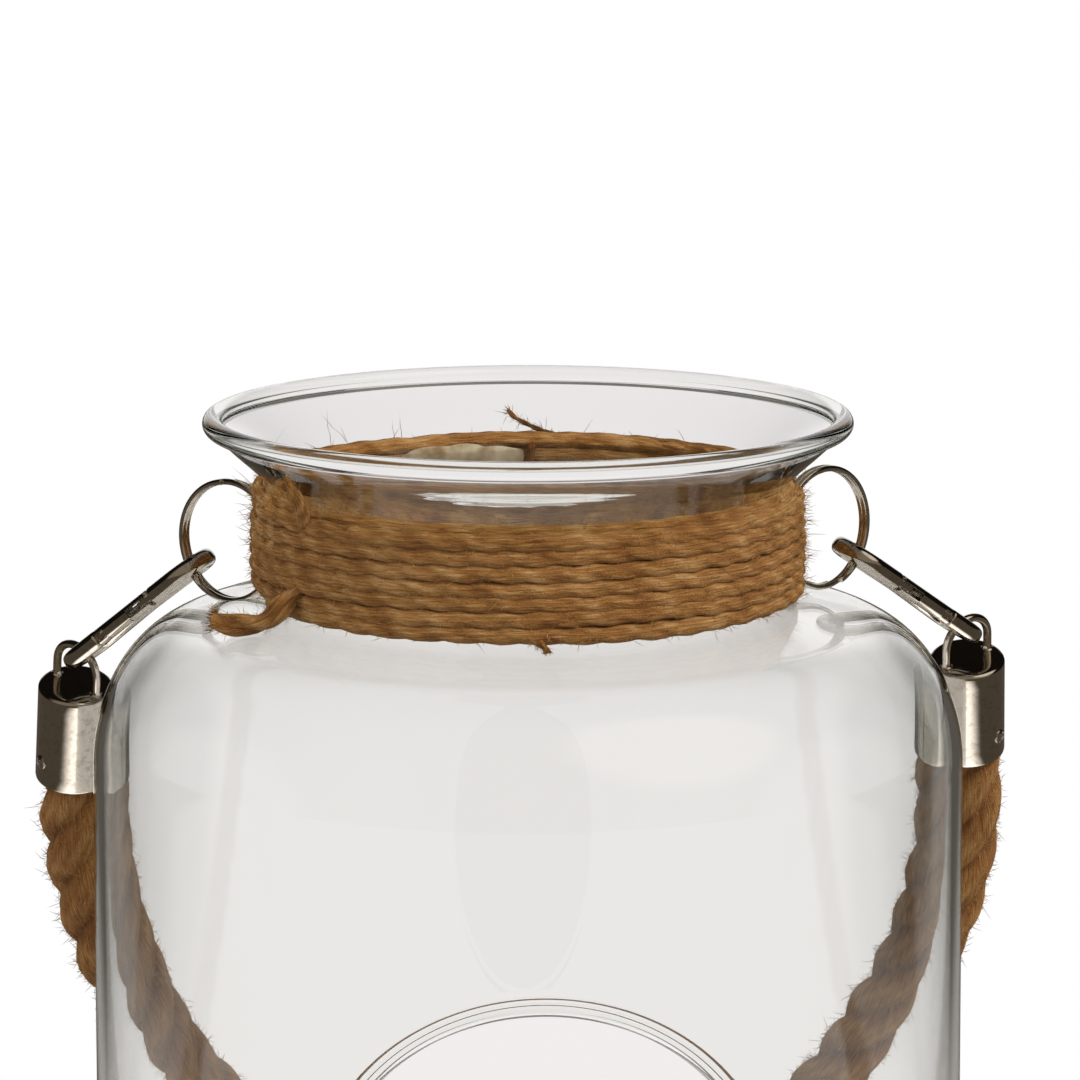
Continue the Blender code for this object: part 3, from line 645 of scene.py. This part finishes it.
def rope_handle():
    """The three-strand jute rope, from inside one cap to inside the other, with its loose fibres."""
    free = smooth([in_cap("left", CAP_LENGTH)] + ROPE_ROUTE + [in_cap("right", CAP_LENGTH)], 200)
    path = even(np.vstack([[in_cap("left", ROPE_TOP)], [in_cap("left", CAP_LENGTH / 2)], free,
                           [in_cap("right", CAP_LENGTH / 2)], [in_cap("right", ROPE_TOP)]]), 640)
    far = reach(path)
    # The rope is squeezed from its own size to the inside of the caps over 5 mm
    snug = np.minimum(np.clip((far - 16.0) / 5.0, 0, 1), np.clip((far[-1] - 16.0 - far) / 5.0, 0, 1))
    grid, crest = laid_rope(path, ROPE_DIAMETER / 2, ROPE_LAY, 3, 7, 96, 11, 0.42)
    size = (ROPE_SQUEEZE + (1 - ROPE_SQUEEZE) * snug)[:, None, None]
    grid = path[:, None] + (grid - path[:, None]) * size
    points, crest = closed_ends(grid, crest)
    rope = skin("rope_handle_skin", [(points, True, far[-1] / len(path))], ROPE, "handle",
                ["rope_handle"], crest=[crest])
    outside = np.flatnonzero((far > CAP_LENGTH - 3.0) & (far < far[-1] - CAP_LENGTH + 3.0))
    rows = (int(outside[0]), int(outside[-1]))
    spot, out, along, rng = pick(grid, 15000, 12, rows)
    short = rng.gamma(3.0, 0.42, len(spot)).clip(0.5, 3.8)
    lean = out * 0.75 + along * rng.choice([-1, 1], (len(spot), 1)) * 0.9
    fuzz = hairs("rope_handle_fuzz", spot - out * 0.2, lean, short, 0.13, 0.5, "handle", 13)


rope_handle()


# ------------------------------------------------------------------ the glass jar

WALL = 3.0
INSIDE = -0.5                      # offset of the inner face from the CAD wall's middle: a 2 mm wall
BODY_RADIUS = 86.0 - WALL / 2
HOLE_X, HOLE_Z, HOLE_RADIUS, HOLE_BEAD = 3.0, 103.0, 40.0, 1.55
HOLE_LIP = HOLE_RADIUS + HOLE_BEAD
HOLE_FOOT = HOLE_LIP + 2.8         # where the flat wall ends and the bead begins
PATCH_HEIGHT, PATCH_SWEEP = 56.0, 41.0  # half of the square round the hole, in mm and in degrees
RIM_RADIUS, RIM_HEIGHT, RIM_BEAD = 61.9, 241.45, 1.95
JAR_COLUMNS = 216


def jar_line():
    """The middle of the glass wall as (radius, height), from the base's middle to the rim."""
    half = WALL / 2
    neck = 47.5 - half
    flat = [(r, half) for r in (0.0, 12.0, 24.0, 36.0, 48.0, 58.0, 66.0, 73.0)]
    foot = bezier(flat[-1], (80.5, half), (BODY_RADIUS, 6.0), (BODY_RADIUS, 15.0), 8)
    line = flat + [tuple(p) for p in foot]
    line += [(BODY_RADIUS, z) for z in np.linspace(19.0, 174.0, 40)]
    for stops, count in ((((BODY_RADIUS, 186.5), (78.0, 199.0), (67.0, 201.4)), 26),
                         (((63.5, 202.2), (60.5, 202.9), (57.0, 203.6)), 8),
                         (((51.0, 204.8), (neck, 206.0), (neck, 211.0)), 14)):
        line += [tuple(p) for p in bezier(line[-1], *stops, count)]
    line += [(neck, z) for z in (214.0, 217.5, 221.0)]
    line += [tuple(p) for p in bezier(line[-1], (neck, 231.0), (57.0, 235.0), (61.8, 241.6), 20)]
    return np.array(line)


def waver_at(angle, height):
    """How far the glass is out of round, in mm: blown glass is never quite round."""
    return 0.10 * np.sin(2 * angle + height * 0.02) + 0.05 * np.sin(5 * angle - height * 0.05)


def glass_jar():
    """Turned wall, 2 mm thick and 1 mm at the rim's bead, with a beaded round hole blown in its front.

    Each face of the wall is the same line moved sideways by its own offset, turned about Z. Round the hole, a
    square of that grid is left out, outside and inside. Straight lines from each point of the
    square's edge run in to the bead, round it and back to the same point of the inner square.
    """
    line = jar_line()
    along = unit(np.gradient(line, axis=0))
    across = np.stack([along[:, 1], -along[:, 0]], 1)
    across[0] = (0.0, -1.0)
    angle = np.arange(JAR_COLUMNS) * TAU / JAR_COLUMNS - math.pi / 2
    waver = waver_at(angle[None], line[:, 1:])
    waver *= np.clip(line[:, :1] / 40.0, 0, 1) * np.clip((line[:, 1:] - 4.0) / 20.0, 0, 1)

    # The wall thins to half towards the rim
    thin = 1 - 0.5 * np.clip((line[:, 1:] - 226.0) / 12.0, 0, 1)

    core = (WALL / 2 + INSIDE) / 2

    def wall(offset):
        shape = line + across * (core + (offset - core) * thin)
        shape[0, 0] = 0.0
        r = shape[:, :1] + waver
        return np.stack([r * np.cos(angle), r * np.sin(angle), np.repeat(shape[:, 1:], JAR_COLUMNS, 1)], 2)

    outer, inner = wall(WALL / 2), wall(INSIDE)

    heading = math.atan2(along[-1, 1], along[-1, 0])
    turn = np.linspace(heading + 0.74 * math.pi, heading - 0.74 * math.pi, 22)
    edge = np.stack([RIM_RADIUS + RIM_BEAD * np.cos(turn), RIM_HEIGHT + RIM_BEAD * np.sin(turn)], 1)
    ring = np.stack([np.cos(angle), np.sin(angle), np.ones(JAR_COLUMNS)], 1)
    rim = np.stack([edge[:, :1] * ring[:, 0], edge[:, :1] * ring[:, 1], edge[:, 1:] * ring[:, 2]], 2)
    rim = np.concatenate([inner[-2:-1], rim, outer[-2:-1]])

    middle = round(math.degrees(math.asin(HOLE_X / BODY_RADIUS)) / 360 * JAR_COLUMNS)
    spread = round(PATCH_SWEEP / 360 * JAR_COLUMNS)
    columns = (np.arange(middle - spread, middle + spread + 1)) % JAR_COLUMNS
    heights = line[:, 1]
    rows = np.flatnonzero((np.abs(heights - HOLE_Z) < PATCH_HEIGHT) & (line[:, 0] > 80.0))
    low, high = rows[0], rows[-1]
    edge_i = np.concatenate([np.full(len(columns) - 1, low), np.arange(low, high),
                             np.full(len(columns) - 1, high), np.arange(high, low, -1)])
    edge_j = np.concatenate([columns[:-1], np.full(high - low, columns[-1]), columns[:0:-1],
                             np.full(high - low, columns[0])])

    rest = np.arange(columns[-1], columns[-1] + JAR_COLUMNS - len(columns) + 2) % JAR_COLUMNS
    grids = [(rim, True, 1.0)]
    for side in (outer[:-1], inner[:-1]):
        grids += [(side[:low + 1], True, 1.0), (side[high:], True, 1.0),
                  (side[low:high + 1][:, rest], False, 1.0)]

    start_x = BODY_RADIUS * np.sin(angle[edge_j] + math.pi / 2)
    start_z = heights[edge_i]
    far = np.hypot(start_x - HOLE_X, start_z - HOLE_Z)
    way = np.stack([(start_x - HOLE_X) / far, (start_z - HOLE_Z) / far], 1)
    ease = np.linspace(0.0, 1.0, 15)[1:]
    turn = np.linspace(0.28 * math.pi, 1.72 * math.pi, 19)
    round_bead = np.stack([HOLE_LIP + HOLE_BEAD * np.cos(turn), core + HOLE_BEAD * np.sin(turn)], 1)
    inward_run = far[None] + (HOLE_FOOT - far[None]) * ease[:, None]
    rings = [(run, np.full(len(far), WALL / 2)) for run in inward_run]
    rings += [(np.full(len(far), r), np.full(len(far), w)) for r, w in round_bead]
    rings += [(run, np.full(len(far), INSIDE)) for run in inward_run[::-1]]
    distance = np.array([r for r, _ in rings])
    offset = np.array([w for _, w in rings])
    x = HOLE_X + distance * way[:, 0]
    z = HOLE_Z + distance * way[:, 1]
    sway = np.arcsin(np.clip(x / BODY_RADIUS, -1, 1))
    r = BODY_RADIUS + offset + waver_at(sway - math.pi / 2, z)
    patch = np.stack([r * np.sin(sway), -r * np.cos(sway), z], 2)
    patch = np.concatenate([outer[edge_i, edge_j][None], patch, inner[edge_i, edge_j][None]])
    grids.append((patch, True, 1.0))
    return grids


def jar_mesh():
    """Welds the jar's grids and turns all its faces outward."""
    jar = skin("glass_jar_skin", glass_jar(), GLASS, "jar", ["glass_jar"],
               merge=0.002, crease=180)
    work = bmesh.new()
    work.from_mesh(jar.data)
    bmesh.ops.recalc_face_normals(work, faces=work.faces)
    if work.calc_volume(signed=True) < 0:
        bmesh.ops.reverse_faces(work, faces=work.faces)
    work.to_mesh(jar.data)
    work.free()

    # The straight wall's normals are exactly radial, so that nothing bends where its two grids meet
    spots, normals = (np.empty(3 * len(jar.data.vertices), np.float32) for _ in range(2))
    jar.data.vertices.foreach_get("co", spots)
    jar.data.vertex_normals.foreach_get("vector", normals)
    x, y, z = spots.reshape(-1, 3).T / MM
    normals = normals.reshape(-1, 3)
    r = np.hypot(x, y)
    near = HOLE_RADIUS + 2 * HOLE_BEAD + 3.2
    clear = (y > 0) | (np.hypot(x / np.maximum(r, 1.0) * BODY_RADIUS - HOLE_X, z - HOLE_Z) > near)
    straight = (z > 19.5) & (z < 172.0) & (r > 82.0) & clear
    radial = np.stack([x, y, 0 * z], 1) / np.maximum(r, 1.0)[:, None]
    radial *= np.where(r > BODY_RADIUS + (WALL / 2 + INSIDE) / 2, 1.0, -1.0)[:, None]
    jar.data.normals_split_custom_set_from_vertices(np.where(straight[:, None], radial, normals).tolist())


jar_mesh()


# ------------------------------------------------------------------ the wound twine

TWINE_ROWS = 7
BAND_LOW, BAND_HIGH = 208.8, 227.9
LEVEL_TURNS = 0.6                  # the share of the first and last turns that stays level
TURN_RISE = (BAND_HIGH - BAND_LOW) / (TWINE_ROWS - LEVEL_TURNS)
TWINE_START = math.radians(200)
TWINE_LAY = 15.0                   # mm for one turn of a ply
OUTER_MIDDLE, OUTER_RADIUS, OUTER_RELIEF = 52.75, 1.85, 0.18
INNER_MIDDLE, INNER_RADIUS, INNER_RELIEF, INNER_LIFT = 50.5, 1.95, 0.12, 1.5


def wound(radius, turns, points, seed, lift=0.0):
    """The middle line of twine wound round the neck: a helix that wanders a little up, down and out."""
    turn = np.linspace(0.0, TAU * turns, points)
    angle = turn + TWINE_START
    rise = np.clip(turn / TAU - LEVEL_TURNS / 2, 0, turns - LEVEL_TURNS) * TURN_RISE
    z = BAND_LOW + lift + rise + 0.32 * wobble(turn * 1.1, seed) + 0.18 * wobble(angle * 6.0, seed + 1)
    r = radius + 0.30 * wobble(turn * 1.7, seed + 2) + 0.12 * wobble(turn * 9.0, seed + 3)
    return np.stack([r * np.cos(angle), r * np.sin(angle), z], 1)


def neck_twine():
    """Two layers of two-ply jute twine, wound seven times each, with their loose fibres."""
    outer = even(wound(OUTER_MIDDLE, TWINE_ROWS, 4000, 21), 3900)
    grid, crest = laid_rope(outer, OUTER_RADIUS, TWINE_LAY, 2, 3, 22, 22, OUTER_RELIEF)
    points, crest = closed_ends(grid, crest)
    step = reach(outer)[-1] / len(outer)
    skin("neck_twine_outer", [(points, True, step)], TWINE, "jar", ["neck_twine"], crest=[crest],
         merge=0.0002)
    inner = even(wound(INNER_MIDDLE, TWINE_ROWS, 2400, 31, INNER_LIFT), 2100)
    under, low = laid_rope(inner, INNER_RADIUS, TWINE_LAY, 2, 3, 16, 32, INNER_RELIEF)
    points, low = closed_ends(under, low)
    skin("neck_twine_inner", [(points, True, reach(inner)[-1] / len(inner))], TWINE, "jar", crest=[low],
         merge=0.0002)

    spot, out, along, rng = pick(grid, 15000, 24)
    radial = unit(spot * np.array([1.0, 1.0, 0.0]))
    keep = dot(out, radial)[:, 0] > 0.1
    spot, out, along, radial = spot[keep], out[keep], along[keep], radial[keep]
    size = rng.gamma(2.6, 0.5, len(spot)).clip(0.4, 4.5)
    lean = along * rng.choice([-1, 1], (len(spot), 1)) * rng.uniform(0.2, 1.6, (len(spot), 1))
    hairs("neck_twine_fuzz", spot - out * 0.15, radial * 0.6 + out * 0.3 + lean, size, 0.12, 0.6, "jar",
          25, stray=0.35)

    # Longer fibres that stand up from the top edge and hang from the bottom one
    rng = np.random.default_rng(26)
    count = 420
    angle = rng.uniform(0, TAU, count)
    top = rng.random(count) < 0.5
    z = np.where(top, BAND_HIGH + 0.8, BAND_LOW - 0.8)
    r = rng.uniform(50.5, 54.0, count)
    root = np.stack([r * np.cos(angle), r * np.sin(angle), z], 1)
    way = np.stack([0.25 * np.cos(angle), 0.25 * np.sin(angle), np.where(top, 0.55, -0.35)], 1)
    size = rng.gamma(2.5, 1.1, count).clip(0.8, 7.0) * np.where(top, 1, 0.5)
    hairs("neck_twine_edge_fibres", root, way, size, 0.14, 0.9, "jar", 27, stray=0.45)


neck_twine()


def twine_end(name, route, radius, lay, count, seed, stands_for=(), taper=0.35, frayed=110, fray=2.6):
    """A loose end of twine along a route, thinner at its start, with its cut fibres spread."""
    path = smooth(route, count)
    grid, crest = laid_rope(path, radius, lay, 2, 5, 30, seed, 0.4)
    share = np.linspace(0, 1, count)
    size = 1 - taper * (1 - np.clip(share / 0.3, 0, 1))
    grid = path[:, None] + (grid - path[:, None]) * size[:, None, None]
    points, crest = closed_ends(grid, crest)
    skin(name, [(points, True, reach(path)[-1] / count)], TWINE, "jar", stands_for, crest=[crest])
    rng = np.random.default_rng(seed)
    along, side, over = rails(path)
    angle, off = rng.uniform(0, TAU, frayed), radius * np.sqrt(rng.random(frayed)) * 0.9
    root = path[-2] + off[:, None] * (np.cos(angle)[:, None] * side[-1] + np.sin(angle)[:, None] * over[-1])
    way = along[-1] * 0.9 + unit(root - path[-2]) * 0.4
    hairs(name + "_cut_fibres", root, way, rng.uniform(0.5, fray, frayed), 0.14, 0.3, "jar", seed + 1,
          stray=0.25)
    spot, out, forward, rng = pick(grid, 5 * count, seed + 2)
    size = rng.gamma(2.5, 0.35, len(spot)).clip(0.2, 2.5)
    hairs(name + "_fuzz", spot - out * 0.1, out + forward * 0.7, size, 0.11, 0.5, "jar", seed + 3)


TAIL = [(-43.8, -30.4, 213.4), (-47.2, -32.4, 210.5), (-49.6, -31.2, 208.0), (-53.0, -29.4, 206.4),
        (-57.0, -27.8, 206.0), (-60.5, -26.8, 206.7)]
TUFT_FRONT = [(-42.6, -32.5, 226.0), (-43.0, -36.0, 229.5), (-44.2, -39.0, 233.0), (-46.2, -40.8, 236.2)]
END_BACK = [(9.0, 53.5, 228.6), (4.3, 53.8, 230.1), (0.8, 53.9, 231.4), (-2.2, 53.6, 233.2),
            (-4.3, 53.3, 235.4)]
END_FRONT = [(-2.0, -53.6, 208.8), (1.2, -54.0, 208.0), (3.0, -54.2, 206.9), (3.8, -54.4, 205.6)]
twine_end("twine_tail_skin", TAIL, 2.3, 19.0, 60, 41, ["twine_tail"], taper=0.25)
twine_end("twine_tuft_front", TUFT_FRONT, 1.35, 9.0, 40, 51, taper=0.0, frayed=60, fray=1.6)
twine_end("twine_end_back", END_BACK, 0.55, 6.0, 40, 61, taper=0.0, frayed=20, fray=1.2)
twine_end("twine_end_front", END_FRONT, 0.8, 6.0, 30, 71, taper=0.0, frayed=30, fray=1.2)


# ------------------------------------------------------------------ the metal fittings

RING_MEAN, RING_WIRE, RING_PITCH = 11.85, 1.2, 1.3
HOOK_LENGTH, HOOK_WIDTH, HOOK_WIRE = 42.0, 14.0, 3.6
GATE_PIVOT, GATE_END = -5.5, 8.0
TONGUE, GAP = 1.2, 0.3
ARM = (HOOK_WIDTH - HOOK_WIRE) / 2
BEND = (HOOK_LENGTH - HOOK_WIRE) / 2 - ARM


def fitting(side, part, grids, metal, body, merge=0.0004):
    """Skins one metal part of a side, in place of the CAD solid with its name."""
    skin(f"{side}_{part}_skin", grids, metal, body, [f"{side}_{part}"], merge=merge)


def split_ring(side):
    """Two turns of slightly flattened wire; each turn steps to the next over a short bend."""
    at = SIDES[side]
    share = np.linspace(0.0, 1.0, 520)
    angle = at["ring_start"] + at["sign"] * share * 4 * math.pi * 0.985
    level = RING_PITCH / 2 * np.tanh((share - 0.5) * 8.0)
    # The ring's frame, with its third direction upright
    upright = np.vstack([at["ring"][:3], [(0.0, 0.0, 1.0)]])
    path = set_in(np.stack([RING_MEAN * np.cos(angle), level, RING_MEAN * np.sin(angle)], 1), upright)
    section = outline(RING_WIRE * 1.06, RING_WIRE * 1.02, 2.8, 20)
    wire = swept(path, section, ends=0.18, side=at["ring"][2])
    fitting(side, "split_ring", [(wire, True, 0.3)], WIRE, f"{side}_ring")


def extruded(shape, thickness, bevel, place):
    """A flat outline given a thickness along the frame's Z, with rounded edges, centred on z = 0."""
    shape = np.array(shape, float)
    middle = shape.mean(0)
    half = thickness / 2
    rise = np.array([(0.0, 0.0), (0.0, 1 - bevel), (bevel * 0.3, 1 - bevel * 0.3), (bevel, 1.0)])
    levels = [(z - half, s) for z, s in rise] + [(half - z, s) for z, s in rise[::-1]]
    rings = [np.column_stack([middle + (shape - middle) * s, np.full(len(shape), z)]) for z, s in levels]
    return set_in(np.array(rings), place)


def gate_line(low, high, count, place):
    """Points of the gate's middle line."""
    return set_in(np.linspace((low, -ARM, 0.0), (high, -ARM, 0.0), count), place)


def snap_hook(side):
    """A cast hook: its body's section runs round a long loop, thicker where it bends, with a sprung gate."""
    place = SIDES[side]["hook"]
    half_turn = np.linspace(0.0, math.pi, 40)
    start, nose = GATE_PIVOT - 2.6, GATE_END + GAP
    run = np.linspace(start, -BEND, 10)[:-1]
    path = [np.column_stack([run, np.full(len(run), -ARM)]),
            np.column_stack([-BEND - ARM * np.sin(half_turn), -ARM * np.cos(half_turn)]),
            np.column_stack([np.linspace(-BEND, BEND, 44)[1:-1], np.full(42, ARM)]),
            np.column_stack([BEND + ARM * np.sin(half_turn), ARM * np.cos(half_turn)]),
            np.column_stack([np.linspace(BEND, nose, 8)[1:], np.full(7, -ARM)])]
    flat = np.vstack(path)
    path = set_in(np.column_stack([flat, np.zeros(len(flat))]), place)
    # Slim in the middle of the long arm, full size in both bends
    slim = 1 - 0.16 * np.clip(1 - np.abs(flat[:, 0]) / 15.0, 0, 1) * (flat[:, 1] > 0)
    section = outline(HOOK_WIRE, HOOK_WIRE, 2.5, 32)
    grids = [(swept(path, section, slim, ends=0.45, side=place[3]), True, 0.8)]
    # A flat tongue at each end of the body, which the gate's slots straddle
    for low, high, size in ((start - 0.6, GATE_PIVOT, 2.6), (GATE_END - 2.0, nose + 0.6, 2.2)):
        round_end = np.linspace(-math.pi / 2, math.pi / 2, 12)
        reach_to = low < start
        tip, back = (high, low) if reach_to else (low, high)
        way = 1.0 if reach_to else -1.0
        radius = 1.5 if reach_to else size / 2
        nub = np.stack([tip + way * radius * np.cos(round_end), -ARM + radius * np.sin(round_end)], 1)
        shape = np.vstack([nub, [[back, -ARM + size / 2], [back, -ARM - size / 2]]])
        grids.append((extruded(shape, TONGUE, 0.12, place), True, 0.5))
    fitting(side, "hook_body", grids, NICKEL, f"{side}_hook")

    # The gate: a solid tube whose two ends are each split into two cheeks by the slots
    tube = outline(HOOK_WIRE - 0.12, HOOK_WIRE - 0.12, 2.3, 32)
    slot_low, slot_high = GATE_PIVOT + 4.0, GATE_END - 2.5
    spine = gate_line(slot_low, slot_high, 12, place)
    grids = [(swept(spine, tube, side=place[3]), True, 0.6)]
    slot_half = TONGUE / 2 + GAP
    for low, high in ((GATE_PIVOT - 1.7, slot_low + 0.3), (slot_high - 0.3, GATE_END)):
        spine = gate_line(low, high, 10, place)
        for way in (-1, 1):
            cheek = tube.copy()
            cheek[:, 0] = way * np.maximum(cheek[:, 0] * way, slot_half)
            cheek[:, 1] = np.clip(cheek[:, 1], -1.52, 1.52)
            grids.append((cheek_end(spine, cheek, place[3]), True, 0.6))
    fitting(side, "hook_gate", grids, NICKEL, f"{side}_gate", merge=0.02)

    head = [(0, 1.78), (0.35, 1.74), (0.55, 1.62), (0.6, 1.5)]
    pin = spun(head + [(r, -z) for r, z in head[::-1]], steps=24)
    pin = set_in(pin + np.array([GATE_PIVOT, -ARM, 0.0]), place)
    fitting(side, "gate_pin", [(pin, True, 0.5)], STEEL, f"{side}_hook")
    turn = np.linspace(0.0, 6 * math.pi, 120)
    coil = np.column_stack([GATE_PIVOT + 1.95 + turn / (6 * math.pi) * 1.7, -ARM + 0.9 * np.cos(turn),
                            0.45 * np.sin(turn)])
    spring = swept(set_in(coil, place), outline(0.3, 0.3, 2, 8))
    fitting(side, "gate_spring", [(spring, True, 0.2)], STEEL, f"{side}_gate")


def cheek_end(spine, section, side):
    """Half a split tube: the section carried straight along the spine with flat closed ends."""
    along = unit(spine[-1] - spine[0])
    side = unit(side - dot(side, along) * along)
    over = np.cross(along, side)
    rings = spine[:, None] + section[None, :, :1] * side + section[None, :, 1:] * over
    middle = section.mean(0)
    centre = spine + middle[0] * side + middle[1] * over
    ends = [np.repeat(centre[k:k + 1, None], len(section), 1) for k in (0, -1)]
    return np.concatenate([ends[0], rings, ends[1]])


def end_cap(side):
    """A turned cup with a rounded shoulder and a rolled lower edge."""
    place = SIDES[side]["cap"]
    turn = np.linspace(0.0, math.pi / 2, 8)
    shoulder = np.stack([6.7 + 1.0 * np.sin(turn), -1.0 + 1.0 * np.cos(turn)], 1)
    profile = [(0, 0.0), (2.5, 0.02), (4.8, 0.0), (6.0, 0.05)] + [tuple(p) for p in shoulder]
    profile += [(7.7, z) for z in (-3, -7, -11, -15, -19, -21.4)]
    profile += [(7.62, -21.8), (7.35, -22.0), (7.05, -21.8)]
    profile += [(7.0, -21.0), (7.0, -12.0), (7.0, -2.0), (6.2, -0.9), (0, -0.9)]
    fitting(side, "end_cap", [(spun(profile, place, 128), True, 1.0)], NICKEL, "handle")

    leg, height, foot = 5.5, 9.05, -2.2
    arch = np.linspace(0.0, math.pi, 48)
    route = np.vstack([[(-leg, z) for z in np.linspace(foot, height - leg, 8)[:-1]],
                       np.column_stack([-leg * np.cos(arch), height - leg + leg * np.sin(arch)]),
                       [(leg, z) for z in np.linspace(height - leg, foot, 8)[1:]]])
    path = set_in(np.column_stack([route[:, 0], np.zeros(len(route)), route[:, 1]]), place)
    grids = [(swept(path, outline(1.7, 1.7, 2.0, 24), side=place[2]), True, 0.5)]
    # A small fillet of solder round each leg
    for way in (-1, 1):
        fillet = spun([(0, -0.3), (1.35, -0.3), (1.32, 0.02), (1.1, 0.12), (0.95, 0.4), (0.84, 0.8),
                       (0, 0.85)], steps=32)
        grids.append((set_in(fillet + np.array([way * leg, 0.0, 0.0]), place), True, 0.3))
    fitting(side, "bail", grids, WIRE, "handle")
    cap_screw(side, place)


def cap_screw(side, place):
    """A domed screw head with a cross cut in it: height = dome less the depth of the cross."""
    down = -place[3]
    out = np.array([SIDES[side]["sign"] * 0.82, -0.57, 0.0])
    out = unit(out - dot(out, down) * down)
    centre = place[0] + down * (CAP_LENGTH - 5.2)
    frame_of = np.array([centre + out * 7.35, down, np.cross(out, down), out])
    radius = np.concatenate([np.linspace(0.0, 1.5, 26), [1.5, 1.45]])[:, None]
    angle = np.linspace(0.0, TAU, 96, endpoint=False)[None]
    x, y = radius * np.cos(angle), radius * np.sin(angle)
    dome = 0.95 - 0.42 * (radius / 1.5) ** 2
    u, v = np.abs(x + y) / math.sqrt(2), np.abs(x - y) / math.sqrt(2)
    cross = np.clip((0.30 - np.minimum(u, v)) / 0.08, 0, 1) * np.clip((1.12 - radius) / 0.12, 0, 1)
    z = dome - 0.42 * cross
    z[-2:] = np.array([[0.1], [-0.3]])
    head = np.stack([x, y, z], 2)
    shank = [(0.0, -0.3), (0.8, -0.3), (0.8, -4.6), (0.3, -5.0), (0.0, -5.0)]
    base = np.repeat(np.array([[[0.0, 0.0, -0.3]]]), head.shape[1], 1)
    grids = [(set_in(np.concatenate([head, base]), frame_of), True, 0.1),
             (spun(shank, frame_of, 20), True, 0.5)]
    fitting(side, "cap_screw", grids, STEEL, "handle")


for hand in ("left", "right"):
    split_ring(hand)
    snap_hook(hand)
    end_cap(hand)


# ------------------------------------------------------------------ glue at the back of the band

def glue_patch():
    """A flat dab of glue on the neck under the twine, and the flattened end of a yarn in it."""
    across = np.linspace(-math.pi / 2, math.pi / 2, 60)[:, None]
    up = np.linspace(0.0, TAU, 40, endpoint=False)[None]
    spread = np.cos(across) ** 0.5
    ragged = 1 + 0.16 * wobble(across * 3.0 + up, 81) + 0.08 * wobble(up * 3.0 + across * 5, 82)
    x = -13.5 + 12.5 * np.sin(across) + 0 * up
    z = 226.6 + 2.6 * spread * np.sin(up) * ragged
    r = 47.95 + 0.45 * spread * np.cos(up)
    y = np.sqrt(r ** 2 - x ** 2)
    skin("neck_glue", [(np.stack([x, y, z], 2), True, 1.0)], GLUE, "jar", merge=0.01)
    height = np.linspace(223.6, 229.4, 16)
    path = np.column_stack([0.4 + 0.25 * np.sin(height), np.full(16, 48.35), height])
    width = 1 + 0.9 * np.clip((225.2 - height) / 1.4, 0, 1)
    section = outline(1.6, 0.7, 2.4, 20)
    grid = swept(path, section, width, side=(1.0, 0.0, 0.0))
    # One crest value, 0.35, for the whole end, so the twine material darkens all of it evenly, as it does its
    # grooves
    skin("twine_end_glued", [(grid, True, 0.4)], TWINE, "jar", crest=[np.full(grid.shape[:2], 0.35)])


glue_patch()
